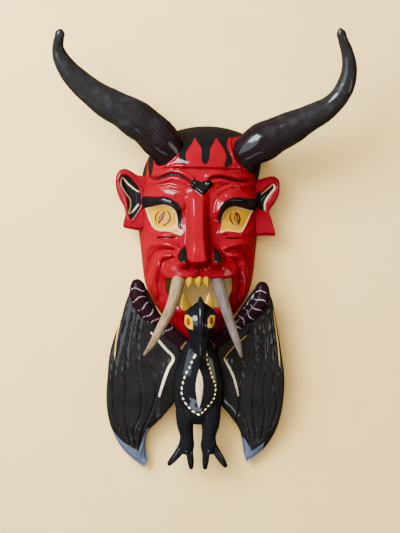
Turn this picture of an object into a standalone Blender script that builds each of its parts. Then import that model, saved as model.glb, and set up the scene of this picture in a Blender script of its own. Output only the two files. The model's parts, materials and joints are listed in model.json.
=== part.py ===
"""Carved and lacquered devil mask: shell, ears, horns, tusks, and a winged dragon as its beard.

The mask lies on the rim of its shell, face up. X runs across the face, Y from chin to crown
and Z out of the face. The carving is laid out in grid units: FACE_GRID of them fill the
height of the face, so that a unit is about a millimetre.
"""
import math

import bmesh
import bpy
import numpy as np
from mathutils import Vector

# Driving sizes in metres
FACE_HEIGHT = 0.296
FACE_HALF_WIDTH = 0.080
SHELL_DEPTH = 0.086
WALL = 0.009
FIT_GAP = 0.0003
NOSE_HEIGHT = 0.040
HORN_RADIUS = 0.0245
TUSK_RADIUS = 0.0080
EAR_THICKNESS = 0.018
WING_THICKNESS = 0.011
ARM_RADIUS = 0.0105
TORSO_HALF_WIDTH = 0.033
LEG_RADIUS = 0.0105
SLIT_HEIGHT = 0.0038
TOOTH_LENGTH = 0.0125

# The grid of the carving
FACE_GRID = 296.0
UNIT = FACE_HEIGHT / FACE_GRID
CHIN_Y = -108.0
CROWN_Y = CHIN_Y + FACE_GRID
MID_Y = 0.5 * (CHIN_Y + CROWN_Y)
FORM_POWER = 2.5

# Half width of the head as shares of the widest, from chin to crown
HEAD_SHARES = ((-108, 0.16), (-104, 0.18), (-82, 0.40), (-72, 0.52), (-58, 0.67), (-39, 0.82),
               (-19, 0.90), (5, 0.94), (27, 0.97), (50, 1.0), (91, 0.99), (114, 0.98),
               (148, 0.965), (170, 0.88), (188, 0.74))
# Depth of the head as shares of the shell's depth, before the crown and chin round off
DEPTH_SHARES = ((-108, 1.0), (-80, 0.98), (-55, 0.94), (-20, 0.95), (20, 0.93), (55, 0.92),
                (90, 0.97), (120, 1.02), (150, 1.05), (188, 1.08))
LEAN = 11.0
LEAN_FROM_Y = 95.0
LEAN_OVER = 90.0
CENTRE_X = 3.0
CROWN_BULGE = 13.0
# What sits on the sides of the face moves out with them
HALF_GRID = 80.0
SIDE_SCALE = FACE_HALF_WIDTH / UNIT / HALF_GRID

MASK_COLUMNS = 39
MASK_ROWS = 47
HOLLOW_COLUMNS = 12
HOLLOW_ROWS = 15

# Carving lines of the left half, in grid units; the right half has its own or mirrors them
FURROW_LEFT = ((-60, 113), (-51, 112.5), (-44, 115), (-35, 117.5), (-26, 116), (-16, 111), (-9, 106))
FURROW_RIGHT = ((12, 109), (19, 112.5), (29, 113.5), (41, 110.5), (52, 109), (61, 110))
LOW_FURROW = ((-50, 105), (-37, 106), (-27, 103), (-17, 97))
KNOB = ((-12, 103.5), (-8, 109.5), (2, 107), (12, 110), (17, 104.5), (4, 90))
BROW_LEFT = ((-71, 86), (-59, 83), (-47, 84), (-36, 80), (-28, 73), (-24, 60), (-22, 50))
BROW_RIGHT = ((76, 84), (55, 84), (43, 84), (33, 79), (27, 70), (25, 56))
EYE_LEFT = (-45.0, 61.0)
EYE_RIGHT = (48.0, 61.0)
FOLD_ONE = ((-29, 24), (-40, 28), (-48, 29.5), (-59, 29), (-66, 24), (-69, 14), (-70, -2))
FOLD_TWO = ((-36, 14), (-46, 13), (-52, 8), (-57, -6), (-59, -22), (-56, -38))
GROOVE_ONE = ((-34, 20), (-45, 20.5), (-55, 18), (-61, 8), (-64, -6), (-65, -20))
GROOVE_TWO = ((-30, 10), (-44, 6), (-48, -6), (-50, -22), (-48, -40))
FOLD_MIRROR_X = 5.0
LIP_EDGE = ((-50, 1), (-48, -6), (-42, -12), (-36, -15), (-21, -14), (3, -13), (23, -14),
            (38, -14), (46, -8), (49, 0))
SLITS = ((-54, -29, 37.2), (33, 53, 36.4))
MOUTH = ((-42, -14), (-30, -15), (3, -14), (30, -16), (43, -14), (44, -30), (37, -46), (24, -53),
         (3, -50), (-20, -53), (-35, -48), (-42, -30))
UPPER_TEETH = ((-11.5, 5.4), (0.5, 5.6), (11.0, 4.6))
LOWER_FANGS = ((-17.0, 7.0, 21.0), (12.5, 7.0, 20.0), (-6.5, 3.0, 7.0))

# Horn centre lines: x, y, z and radius as a share of HORN_RADIUS
HORN_LEFT = ((-14, 120, 30, 0.94), (-30, 146, 60, 0.95), (-59, 173.4, 69, 1.0), (-87, 191.4, 76, 0.93),
             (-121, 209, 83, 0.77), (-146, 227, 90, 0.64), (-163, 243.6, 97, 0.53),
             (-173, 259, 104, 0.40), (-175.5, 269, 110, 0.28), (-172.5, 279, 117, 0.19),
             (-169.6, 286.5, 124, 0.06))
HORN_RIGHT = ((38, 120, 30, 0.94), (56, 145, 60, 0.95), (88, 163.2, 68, 1.0), (117, 177, 75, 0.85),
              (142.6, 190, 81, 0.70), (164, 202, 87, 0.57), (177.8, 216, 93, 0.50),
              (184.2, 229.3, 99, 0.46), (186.9, 249.3, 106, 0.39), (182.8, 266.2, 112, 0.31),
              (176.5, 280, 118, 0.24), (170.5, 293.6, 125, 0.07))
HORN_BUMPS = 6
HORN_BUMP_SIZE = 0.045
HORN_SIDES = 12
HORN_RINGS = 20

# Tusk centre lines: x, y, z and radius as a share of TUSK_RADIUS
TUSK_LEFT = ((-23, -4, 77, 1.0), (-27, -20, 85, 1.02), (-34.5, -47, 98, 0.86), (-50, -77.4, 112, 0.68),
             (-62, -98, 123, 0.45), (-69.7, -107, 131, 0.17))
TUSK_RIGHT = ((21, -5, 77, 1.0), (24.5, -21, 85, 1.02), (31, -48.2, 98, 0.86), (40.5, -79.8, 112, 0.68),
              (46.5, -99.7, 123, 0.45), (48.9, -110.5, 131, 0.17))
TUSK_SIDES = 9
TUSK_RINGS = 9

# Ear outlines and hollows
EAR_LEFT = ((-62, 118), (-79, 120), (-87, 125), (-95, 128), (-102, 125.5), (-106, 119), (-107, 110),
            (-105.5, 99), (-101.5, 88), (-97, 80), (-94.5, 72), (-95, 62), (-97, 52), (-88, 49),
            (-76, 47.5), (-62, 50))
EAR_RIGHT = ((70, 114), (83, 115), (92, 118), (102, 118.8), (107.5, 115), (109, 107), (107.5, 94),
             (102, 83), (96.5, 75.5), (94.5, 69), (97, 61), (100, 52), (103, 41), (93, 41),
             (82, 40.5), (70, 44))
EAR_LEFT_HOLLOW = (-90.0, 92.0)
EAR_RIGHT_HOLLOW = (92.5, 92.0)
EAR_BACK_Z = 22.0
EAR_POINTS = 26

# Wings: pairs of outer and inner edge points with the height of the face, from top to tip
WING_LEFT = (((-84, -22), (-60, -26), 50), ((-94, -48), (-50, -60), 48), ((-99, -67), (-38, -86), 46),
             ((-107.5, -89), (-24, -104), 45), ((-114.5, -115), (-18, -122), 44),
             ((-117.5, -146), (-24, -142), 41), ((-119, -173), (-28, -163), 37),
             ((-116.5, -199), (-30, -179), 32), ((-109.5, -221), (-47, -201), 27),
             ((-99, -240.5), (-64, -219), 23), ((-84, -256.5), (-67.5, -240), 20),
             ((-69, -268), (-64.5, -257), 18))
WING_RIGHT = (((90, -26), (66, -30), 50), ((98.5, -46), (54, -58), 48), ((104, -74), (40, -86), 46),
              ((108, -96), (26, -104), 45), ((111.5, -120), (20, -122), 44),
              ((115, -143), (26, -142), 41), ((115.2, -167), (29, -163), 37),
              ((113, -191), (30, -179), 32), ((107.5, -214), (45, -199), 27),
              ((97, -235), (57, -217), 23), ((84, -250.5), (62, -236), 20),
              ((68, -263.5), (64, -250), 18))
WING_LINES = (0.10, 0.25, 0.45, 0.68)
WING_LINE_HALF = 0.020
WING_LINE_DEPTH = 2.2
WING_BONE = ((0.0, 0.76), (0.27, 0.78), (0.38, 0.88), (0.55, 0.81), (0.75, 0.79), (1.0, 0.80))
WING_BONE_RISE = 3.5
WING_BONE_SLOPE = 0.035
WING_CROWN = 7.0
WING_BACK_CROWN = 0.8
WING_BACK_SHARES = (1.0, 0.7, 0.35, 0.0)
WING_EDGE_SHARE = 0.35
WING_ROWS = 15
ARM_LEFT = ((-76, -17, 51, 0.50), (-78, -26, 52, 0.92), (-77, -38, 52.5, 1.0), (-71, -52, 52.5, 1.0),
            (-59, -66, 52, 0.95), (-44, -79, 51, 0.90), (-20, -101, 51, 0.90))
ARM_RIGHT = ((80, -21, 51, 0.50), (84, -29, 52, 0.92), (83, -41, 52.5, 1.0), (75, -54, 52.5, 1.0),
             (62, -67, 52, 0.95), (47, -80, 51, 0.90), (22, -101, 51, 0.90))
ARM_SIDES = 9
ARM_RINGS = 8

# Dragon
DRAGON_X = 1.0
TORSO_ROWS = ((-88, 0.30, 8, 64), (-97, 0.55, 13, 63), (-110, 0.80, 18, 61), (-128, 0.96, 22, 57),
              (-146, 1.0, 23.5, 54), (-162, 1.0, 23, 51), (-176, 0.93, 20, 48), (-188, 0.78, 15, 45),
              (-196, 0.55, 9, 44))
TORSO_SIDES = 14
HEAD_ROWS = ((-45, 0.22, 5, 96), (-49, 0.62, 11, 97), (-55, 0.90, 15.5, 99), (-63, 1.0, 18, 101),
             (-72, 0.98, 18.5, 102), (-80, 0.86, 17, 101), (-86, 0.62, 14, 99), (-94, 0.48, 12, 96),
             (-104, 0.36, 10, 92), (-114, 0.24, 8, 87), (-122, 0.13, 5.5, 83), (-129, 0.04, 2, 80))
HEAD_HALF_WIDTH = 20.0
HEAD_SIDES = 12
NECK = ((1, -62, 82, 14), (1, -80, 80, 14), (1, -98, 75, 15), (1, -120, 66, 15))
CREST = ((0.5, -37.5, 97, 1.2), (0.5, -47, 111, 4.6), (0.5, -58, 118, 4.2), (0.5, -72, 120, 3.4),
         (0.5, -84, 117, 2.6))
LEG_LEFT = ((-14, -172, 50, 1.25), (-17, -190, 47, 1.12), (-16.5, -206, 44, 0.98), (-14, -222, 41, 0.78),
            (-14.5, -236, 38, 0.92), (-15, -244, 36, 0.85))
LEG_RIGHT = ((15, -172, 50, 1.25), (19, -190, 47, 1.12), (19, -206, 44, 0.98), (15.5, -222, 41, 0.78),
             (15, -236, 38, 0.92), (15, -244, 36, 0.85))
TOES_LEFT = (((-17, -232, 38, 6.2), (-26, -247, 38, 5.4), (-34, -258, 35, 3.6), (-37.5, -264, 31, 0.8)),
             ((-12, -232, 38, 6.4), (-9, -248, 40, 5.8), (-7.5, -259, 37, 3.8), (-7, -268.3, 32, 0.8)))
TOES_RIGHT = (((18, -232, 38, 6.2), (26, -247, 38, 5.4), (34, -258, 35, 3.6), (38, -265, 31, 0.8)),
              ((12, -232, 38, 6.4), (9, -248, 40, 5.8), (9.5, -259, 37, 3.8), (10.2, -268.3, 32, 0.8)))

CUTTER_REACH = 40.0


def smooth(t):
    """Return t eased from 0 to 1."""
    t = np.clip(t, 0.0, 1.0)
    return t * t * (3.0 - 2.0 * t)


def through(stations, y):
    """Read a smooth curve through (position, value) stations."""
    keys = np.array([s[0] for s in stations], float)
    values = np.array([s[1] for s in stations], float)
    slopes = np.gradient(values, keys)
    y = np.clip(np.asarray(y, float), keys[0], keys[-1])
    i = np.clip(np.searchsorted(keys, y) - 1, 0, len(keys) - 2)
    span = keys[i + 1] - keys[i]
    t = (y - keys[i]) / span
    return (values[i] * (1 + 2 * t) * (1 - t) ** 2 + slopes[i] * span * t * (1 - t) ** 2
            + values[i + 1] * t * t * (3 - 2 * t) + slopes[i + 1] * span * t * t * (t - 1))


def along(points, steps):
    """Return points on a smooth curve through the given ones, columns and all."""
    points = np.array(points, float)
    dims = min(3, points.shape[1])
    gaps = np.linalg.norm(np.diff(points[:, :dims], axis=0), axis=1)
    keys = np.concatenate(([0.0], np.cumsum(gaps)))
    at = np.linspace(0.0, keys[-1], steps)
    return np.array([through(list(zip(keys, column)), at) for column in points.T]).T


def line_distance(x, y, points):
    """Return the distance from (x, y) to an open line."""
    best = np.full(np.shape(x), 1.0e9)
    for (ax, ay), (bx, by) in zip(points[:-1], points[1:]):
        dx, dy = bx - ax, by - ay
        t = np.clip(((x - ax) * dx + (y - ay) * dy) / (dx * dx + dy * dy), 0.0, 1.0)
        best = np.minimum(best, np.hypot(x - ax - t * dx, y - ay - t * dy))
    return best


def inside_distance(x, y, points):
    """Return the distance to a closed outline, positive inside it."""
    edge = line_distance(x, y, tuple(points) + (points[0],))
    inside = np.zeros(np.shape(x), bool)
    for (ax, ay), (bx, by) in zip(points, tuple(points[1:]) + (points[0],)):
        if ay != by:
            inside ^= ((ay > y) != (by > y)) & (x < (bx - ax) * (y - ay) / (by - ay) + ax)
    return np.where(inside, edge, -edge)


def hill(x, y, centre, reach, power=2.0):
    """Return a rounded hill of height one."""
    r = np.hypot((x - centre[0]) / reach[0], (y - centre[1]) / reach[1])
    return np.exp(-r ** power)


def ridge(x, y, points, width):
    """Return a rounded ridge of height one along a line."""
    return np.exp(-(line_distance(x, y, points) / width) ** 2)


def mirrored(points):
    """Return a left line turned over to the right half of the face."""
    return tuple((FOLD_MIRROR_X - px, py) for px, py in points)


def nose(x, y):
    """Return the height of the nose and its wings over the face."""
    height = NOSE_HEIGHT / UNIT
    rise = height * (0.22 + 0.78 * smooth((92.0 - y) / 86.0)) * smooth((104.0 - y) / 22.0)
    rise = rise * smooth((y + 4.0) / 11.0)
    flat = 6.5 + 4.0 * smooth((40.0 - y) / 40.0)
    slope = 7.0 + 3.0 * smooth((60.0 - y) / 60.0)
    bridge = rise * smooth((flat + slope - np.abs(x)) / slope)
    wings = np.zeros(np.shape(x))
    for cx in (-19.5, 20.5):
        wings = np.maximum(wings, 0.52 * height * hill(x, y, (cx, 11.0), (9.0, 12.0), 3.5))
    return np.maximum(bridge, wings)


def carving(x, y):
    """Return the height of all the carving over the head's plain form."""
    z = 4.0 * hill(x, y, (4.0, 142.0), (46.0, 22.0))
    for line in (FURROW_LEFT, FURROW_RIGHT):
        above = [(px, py + 5.0) for px, py in line]
        below = [(px, py - 5.0) for px, py in line]
        z = z + 3.2 * ridge(x, y, above, 3.6) + 3.4 * ridge(x, y, below, 3.4) - 3.0 * ridge(x, y, line, 2.4)
    for line in (LOW_FURROW, mirrored(LOW_FURROW)):
        z = z - 2.0 * ridge(x, y, line, 2.2)
    z = z + 5.0 * smooth((inside_distance(x, y, KNOB) + 1.5) / 4.0)
    for line in (BROW_LEFT, BROW_RIGHT):
        z = z + 8.5 * ridge(x, y, line[:5], 7.5)
    for (cx, cy) in (EYE_LEFT, EYE_RIGHT):
        z = z - 11.0 * hill(x, y, (cx, cy - 1.0), (25.0, 18.5), 4.0)
        z = z + 7.0 * hill(x, y, (cx, cy), (19.0, 14.5), 3.0)
        z = z + 3.0 * ridge(x, y, ((cx - 18.0, 44.5), (cx, 41.5), (cx + 16.0, 43.0)), 3.0)
    for turn in (lambda line: line, mirrored):
        z = z + 7.0 * ridge(x, y, turn(FOLD_ONE), 5.0) + 6.5 * ridge(x, y, turn(FOLD_TWO), 5.0)
        z = z - 4.0 * ridge(x, y, turn(GROOVE_ONE), 3.2) - 4.5 * ridge(x, y, turn(GROOVE_TWO), 3.4)
        cheek = turn(((-44.0, 24.0),))[0]
        z = z + 6.0 * hill(x, y, cheek, (20.0, 14.0))
    lip = line_distance(x, y, LIP_EDGE)
    for cx in (-23.0, 26.0):
        z = z + 15.0 * hill(x, y, (cx, -4.0), (27.0, 15.0), 3.0)
    z = z + 3.0 * np.exp(-(lip / 4.0) ** 2)
    z = z - 5.0 * ridge(x, y, ((1.5, 0.0), (1.5, -16.0)), 4.5)
    z = z + 8.0 * ridge(x, y, ((-30.0, -56.0), (-14.0, -61.0), (3.0, -62.0), (20.0, -61.0), (36.0, -55.0)), 8.0)
    z = z + 10.0 * hill(x, y, (3.0, -86.0), (22.0, 16.0))
    return np.maximum(z, z * 0.0 - 14.0) + nose(x, y)


def head_form(columns, rows, grow=0.0, hollow=False):
    """Return the head's height field as an array of points, rows from chin to crown."""
    power = 2.0 / FORM_POWER
    theta = np.linspace(-0.5 * math.pi, 0.5 * math.pi, columns)
    phi = np.linspace(-0.5 * math.pi, 0.5 * math.pi, rows)
    across = np.sign(np.sin(theta)) * np.abs(np.sin(theta)) ** power
    profile = np.abs(np.cos(theta)) ** power
    upward = np.sign(np.sin(phi)) * np.abs(np.sin(phi)) ** power
    rounding = np.abs(np.cos(phi)) ** power
    s, t = np.meshgrid(across, upward)
    side, end = np.meshgrid(profile, rounding)
    y_line = MID_Y + t * (0.5 * FACE_GRID + grow)
    half = through(HEAD_SHARES, y_line) * FACE_HALF_WIDTH / UNIT + grow
    lean = CENTRE_X + LEAN * smooth((y_line - LEAN_FROM_Y) / LEAN_OVER)
    x = lean + s * half
    y = y_line - CROWN_BULGE * smooth((t - 0.3) / 0.7) * s * s
    depth = through(DEPTH_SHARES, y_line) * SHELL_DEPTH / UNIT + grow
    z = depth * side * end
    detail = carving(x, y)
    if hollow:
        detail = np.minimum(detail, 0.0) * 1.1 + 0.4 * nose(x, y)
    fade = smooth(side * end / 0.55)
    return np.stack((x, y, z + detail * fade), axis=-1)


def finish(bm, name, recalculate=True):
    """Put a closed bmesh, laid out in grid units, into a new object in metres."""
    bmesh.ops.remove_doubles(bm, verts=bm.verts, dist=0.001)
    if recalculate:
        bmesh.ops.recalc_face_normals(bm, faces=bm.faces)
    bmesh.ops.scale(bm, vec=(UNIT, UNIT, UNIT), verts=bm.verts)
    mesh = bpy.data.meshes.new(name)
    bm.to_mesh(mesh)
    bm.free()
    obj = bpy.data.objects.new(name, mesh)
    bpy.context.scene.collection.objects.link(obj)
    return obj


def field_solid(name, points, floor_z):
    """Close a height field with straight sides down to a flat floor."""
    rows, columns, _ = points.shape
    bm = bmesh.new()
    grid = [[bm.verts.new(points[j, i]) for i in range(columns)] for j in range(rows)]
    for j in range(rows - 1):
        for i in range(columns - 1):
            bm.faces.new((grid[j][i], grid[j][i + 1], grid[j + 1][i + 1], grid[j + 1][i]))
    border = (grid[0][:] + [grid[j][-1] for j in range(1, rows)]
              + grid[-1][-2::-1] + [grid[j][0] for j in range(rows - 2, 0, -1)])
    low = [bm.verts.new((v.co.x, v.co.y, floor_z)) for v in border]
    count = len(border)
    for k in range(count):
        n = (k + 1) % count
        bm.faces.new((border[n], border[k], low[k], low[n]))
    bm.faces.new(low)
    bmesh.ops.remove_doubles(bm, verts=bm.verts, dist=0.001)
    bmesh.ops.dissolve_degenerate(bm, edges=bm.edges, dist=0.001)
    return finish(bm, name)


def loop_solid(name, loops):
    """Loft closed loops of equal length and cap both ends."""
    bm = bmesh.new()
    rings = [[bm.verts.new(p) for p in loop] for loop in loops]
    count = len(rings[0])
    for a, b in zip(rings[:-1], rings[1:]):
        for k in range(count):
            n = (k + 1) % count
            bm.faces.new((a[k], a[n], b[n], b[k]))
    bm.faces.new(rings[0][::-1])
    bm.faces.new(rings[-1])
    return finish(bm, name)


def swept_rings(points, steps, sides, radius, grow=0.0, bumps=0, flat=1.0):
    """Return the rings of a tapered tube; its radius is a share in column four."""
    path = along(points, steps)
    if grow:
        ends = path[[0, -1], :3] - path[[1, -2], :3]
        ends = ends / np.linalg.norm(ends, axis=1)[:, None]
        path[0, :3] += ends[0] * grow
        path[-1, :3] += ends[1] * grow
    side = None
    rings = []
    for j, (px, py, pz, share) in enumerate(path):
        before, after = path[max(j - 1, 0), :3], path[min(j + 1, steps - 1), :3]
        ahead = Vector(after - before).normalized()
        side = ahead.cross(Vector((0, 0, 1))) if side is None else side - ahead * side.dot(ahead)
        side = side.normalized()
        up = side.cross(ahead)
        t = j / (steps - 1)
        swell = 1.0 + HORN_BUMP_SIZE * math.sin(2 * math.pi * bumps * t) * (1.0 - t) if bumps else 1.0
        r = share * radius * swell + grow
        ring = []
        for k in range(sides):
            a = 2 * math.pi * k / sides
            ring.append(Vector((px, py, pz)) + side * (r * math.cos(a)) + up * (r * flat * math.sin(a)))
        rings.append(ring)
    return rings


def cutter(obj):
    """Mark an object as a cutter, which is no part of the mask."""
    obj.hide_render = True
    obj.display_type = "WIRE"
    return obj


def boolean(obj, tool, operation):
    """Cut with, or join, another object by the exact solver."""
    modifier = obj.modifiers.new(operation.title(), "BOOLEAN")
    modifier.operation = operation
    modifier.solver = "EXACT"
    modifier.object = tool
    return modifier


def lacquer(name, colour, roughness, metallic=0.0):
    """Return a plain finish."""
    material = bpy.data.materials.new(name)
    material.use_nodes = True
    shader = material.node_tree.nodes["Principled BSDF"]
    shader.inputs["Base Color"].default_value = (*colour, 1.0)
    shader.inputs["Roughness"].default_value = roughness
    shader.inputs["Metallic"].default_value = metallic
    return material


def dress(obj, material, smooth_shaded=True):
    """Give an object its finish and shading."""
    obj.data.materials.append(material)
    if smooth_shaded:
        obj.data.shade_smooth()
        obj.data.set_sharp_from_angle(angle=math.radians(40.0))
    return obj


def form_height(x, y):
    """Return the height of the finished face at one place of its middle stretch."""
    y_line = np.array(float(y))
    half = through(HEAD_SHARES, y_line) * FACE_HALF_WIDTH / UNIT
    depth = through(DEPTH_SHARES, y_line) * SHELL_DEPTH / UNIT
    side = (1.0 - abs((x - CENTRE_X) / half) ** FORM_POWER) ** (1.0 / FORM_POWER)
    end = (1.0 - abs((y - MID_Y) / (0.5 * FACE_GRID)) ** FORM_POWER) ** (1.0 / FORM_POWER)
    return float(depth * side * end + carving(np.array(float(x)), y_line))


def mask_cutter(name):
    """Return the head's outer form, grown by the gap its neighbours keep."""
    grow = FIT_GAP / UNIT
    return cutter(field_solid(name, head_form(MASK_COLUMNS, MASK_ROWS, grow=grow), -CUTTER_REACH))


def make_mask(paint):
    """Build the shell with its mouth, slits, sockets and teeth."""
    mask = field_solid("mask", head_form(MASK_COLUMNS, MASK_ROWS), 0.0)
    hollow = head_form(HOLLOW_COLUMNS, HOLLOW_ROWS, grow=-WALL / UNIT, hollow=True)
    boolean(mask, cutter(field_solid("hollow", hollow, -CUTTER_REACH)), "DIFFERENCE")
    top = (SHELL_DEPTH + NOSE_HEIGHT) / UNIT + CUTTER_REACH
    outline = [(px, py) for px, py in MOUTH]
    loops = [[(px, py, z) for px, py in outline] for z in (-1.0, top)]
    boolean(mask, cutter(loop_solid("mouth_opening", loops)), "DIFFERENCE")
    half = 0.5 * SLIT_HEIGHT / UNIT
    for k, (x0, x1, y) in enumerate(SLITS):
        corners = ((x0, y), (x0 + 4, y - half), (x1 - 4, y - half), (x1, y), (x1 - 4, y + half), (x0 + 4, y + half))
        loops = [[(px, py, z) for px, py in corners] for z in (-1.0, top)]
        boolean(mask, cutter(loop_solid(f"vision_slit_{k}", loops)), "DIFFERENCE")
    for k, (tx, half_width) in enumerate(UPPER_TEETH):
        boolean(mask, tooth(f"upper_tooth_{k}", tx, -10.0, -14.0 - TOOTH_LENGTH / UNIT, half_width), "UNION")
    for k, (fx, half_width, length) in enumerate(LOWER_FANGS):
        boolean(mask, tooth(f"lower_fang_{k}", fx, -57.0, -54.0 + length, half_width), "UNION")
    for side, line in (("left", TUSK_LEFT), ("right", TUSK_RIGHT)):
        socket = swept_rings(line, TUSK_RINGS, TUSK_SIDES, TUSK_RADIUS / UNIT, grow=FIT_GAP / UNIT)
        boolean(mask, cutter(loop_solid(f"socket_{side}", socket)), "DIFFERENCE")
    return dress(mask, paint)


def tooth(name, x, root_y, tip_y, half_width):
    """Return one pointed tooth, rooted in the wall of the lip."""
    z = form_height(x, root_y) - 0.9 * WALL / UNIT
    deep = 0.5 * WALL / UNIT
    sides = 8
    rings = []
    for share, y in ((1.0, root_y), (1.0, 0.75 * root_y + 0.25 * tip_y),
                     (0.55, 0.35 * root_y + 0.65 * tip_y), (0.06, tip_y)):
        ring = []
        for k in range(sides):
            a = 2 * math.pi * (k + 0.5) / sides
            ring.append((x + half_width * share * math.cos(a), y, z + deep * share * math.sin(a)))
        rings.append(ring)
    return cutter(loop_solid(name, rings))


def make_horn(name, line, paint, head):
    """Build one horn and seat it on the head."""
    rings = swept_rings(line, HORN_RINGS, HORN_SIDES, HORN_RADIUS / UNIT, bumps=HORN_BUMPS)
    horn = loop_solid(name, rings)
    boolean(horn, head, "DIFFERENCE")
    return dress(horn, paint)


def make_tusk(name, line, paint):
    """Build one antler tine."""
    tusk = loop_solid(name, swept_rings(line, TUSK_RINGS, TUSK_SIDES, TUSK_RADIUS / UNIT))
    return dress(tusk, paint)


def make_ear(name, outline, hollow, paint, head):
    """Build one flat ear with its scooped hollow and seat it against the head."""
    closed = tuple(outline) + (outline[0],)
    points = along(closed, EAR_POINTS + 1)[:-1] * (SIDE_SCALE, 1.0)
    if name.endswith("right"):
        points = points[::-1]
    thick = EAR_THICKNESS / UNIT
    centre = np.array(hollow) * (SIDE_SCALE, 1.0)
    loops = []
    for share, z in ((0.93, EAR_BACK_Z), (1.0, EAR_BACK_Z + 0.35 * thick), (0.98, EAR_BACK_Z + 0.85 * thick),
                     (0.90, EAR_BACK_Z + thick), (0.80, EAR_BACK_Z + 0.97 * thick),
                     (0.62, EAR_BACK_Z + 0.62 * thick), (0.30, EAR_BACK_Z + 0.42 * thick)):
        loops.append([(*(centre + (p - centre) * share), z) for p in points])
    ear = loop_solid(name, loops)
    boolean(ear, head, "DIFFERENCE")
    return dress(ear, paint)


def wing_rows(stations):
    """Return the wing's outer edge, inner edge and height at even steps."""
    flat = [(*outer, *inner, z) for outer, inner, z in stations]
    keys = list(range(len(flat)))
    at = np.linspace(0, keys[-1], WING_ROWS)
    return np.array([through(list(zip(keys, column)), at) for column in zip(*flat)]).T


def wing_loop(bone):
    """Return a section's points: the share across, its rise over the plain face, and the side."""
    loop = [(0.0, 0.0, "face"), (0.04, 0.0, "face")]
    for line in WING_LINES:
        loop += [(line - WING_LINE_HALF, 0.0, "face"), (line, -WING_LINE_DEPTH, "face"),
                 (line + WING_LINE_HALF, 0.0, "face")]
    loop += [(bone - WING_BONE_SLOPE, 0.0, "face"), (bone, WING_BONE_RISE, "face"),
             (0.5 * (1.0 + bone), WING_BONE_RISE, "face"), (1.0, 0.0, "face")]
    return loop + [(share, 0.0, "back") for share in WING_BACK_SHARES]


def make_wing(name, stations, arm, paint, head, torso):
    """Build one wing: a crowned plate with incised lines, and its arm."""
    thick = WING_THICKNESS / UNIT
    loops = []
    for j, (ox, oy, ix, iy, z) in enumerate(wing_rows(stations)):
        loop = []
        for share, rise, side in wing_loop(float(through(WING_BONE, j / (WING_ROWS - 1)))):
            x, y = (ox + (ix - ox) * share) * SIDE_SCALE, oy + (iy - oy) * share
            crown = WING_CROWN * math.sin(math.pi * (share * 0.9 + 0.05)) * min(1.0, abs(ix - ox) / 60.0)
            edge = thick * WING_EDGE_SHARE * (share in (0.0, 1.0))
            if side == "face":
                loop.append((x, y, z + crown - edge + rise))
            else:
                loop.append((x, y, z + WING_BACK_CROWN * crown - thick + edge))
        loops.append(loop)
    wing = loop_solid(name, loops)
    arm = [(x * SIDE_SCALE, y, z, share) for x, y, z, share in arm]
    rings = swept_rings(arm, ARM_RINGS, ARM_SIDES, ARM_RADIUS / UNIT)
    boolean(wing, cutter(loop_solid(f"{name}_arm", rings)), "UNION")
    boolean(wing, head, "DIFFERENCE")
    boolean(wing, torso, "DIFFERENCE")
    return dress(wing, paint)


def oval_loops(rows, sides, half_width, grow=0.0):
    """Return oval cross-sections across Y; a row is y, width share, half depth and centre z."""
    loops = []
    for n, (y, share, deep, z) in enumerate(rows):
        step = grow if n == 0 else (-grow if n == len(rows) - 1 else 0.0)
        ring = []
        for k in range(sides):
            a = 2 * math.pi * k / sides
            ring.append((DRAGON_X + (share * half_width + grow) * math.cos(a), y + step,
                         z + (deep + grow) * math.sin(a)))
        loops.append(ring)
    return loops


def make_torso(name, grow=0.0):
    """Return the dragon's body."""
    return loop_solid(name, oval_loops(TORSO_ROWS, TORSO_SIDES, TORSO_HALF_WIDTH / UNIT, grow))


def tube(name, line, steps, sides, radius=1.0, grow=0.0):
    """Return a tapered tube as a tool."""
    return cutter(loop_solid(name, swept_rings(line, steps, sides, radius, grow=grow)))


def make_dragon(paint, head):
    """Build the dragon that hangs over the chin: body, neck, head, crest, legs and toes."""
    dragon = make_torso("dragon")
    boolean(dragon, tube("neck", NECK, 4, 8), "UNION")
    skull = cutter(loop_solid("skull", oval_loops(HEAD_ROWS, HEAD_SIDES, HEAD_HALF_WIDTH)))
    boolean(dragon, skull, "UNION")
    boolean(dragon, tube("crest", CREST, 6, 6), "UNION")
    for side, leg, toes in (("left", LEG_LEFT, TOES_LEFT), ("right", LEG_RIGHT, TOES_RIGHT)):
        boolean(dragon, tube(f"leg_{side}", leg, 7, 8, LEG_RADIUS / UNIT), "UNION")
        for k, toe in enumerate(toes):
            boolean(dragon, tube(f"toe_{side}_{k}", toe, 5, 6), "UNION")
    boolean(dragon, head, "DIFFERENCE")
    return dress(dragon, paint)


def stand_on_origin(objects):
    """Move everything so that the origin is under the middle of the whole, on the floor."""
    bpy.context.view_layer.update()
    graph = bpy.context.evaluated_depsgraph_get()
    corners = []
    for obj in objects:
        if not obj.hide_render:
            evaluated = obj.evaluated_get(graph)
            corners += [evaluated.matrix_world @ v.co for v in evaluated.data.vertices]
    low = [min(c[a] for c in corners) for a in range(3)]
    high = [max(c[a] for c in corners) for a in range(3)]
    shift = Vector((-0.5 * (low[0] + high[0]), -0.5 * (low[1] + high[1]), -low[2]))
    for obj in objects:
        obj.location = shift


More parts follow.
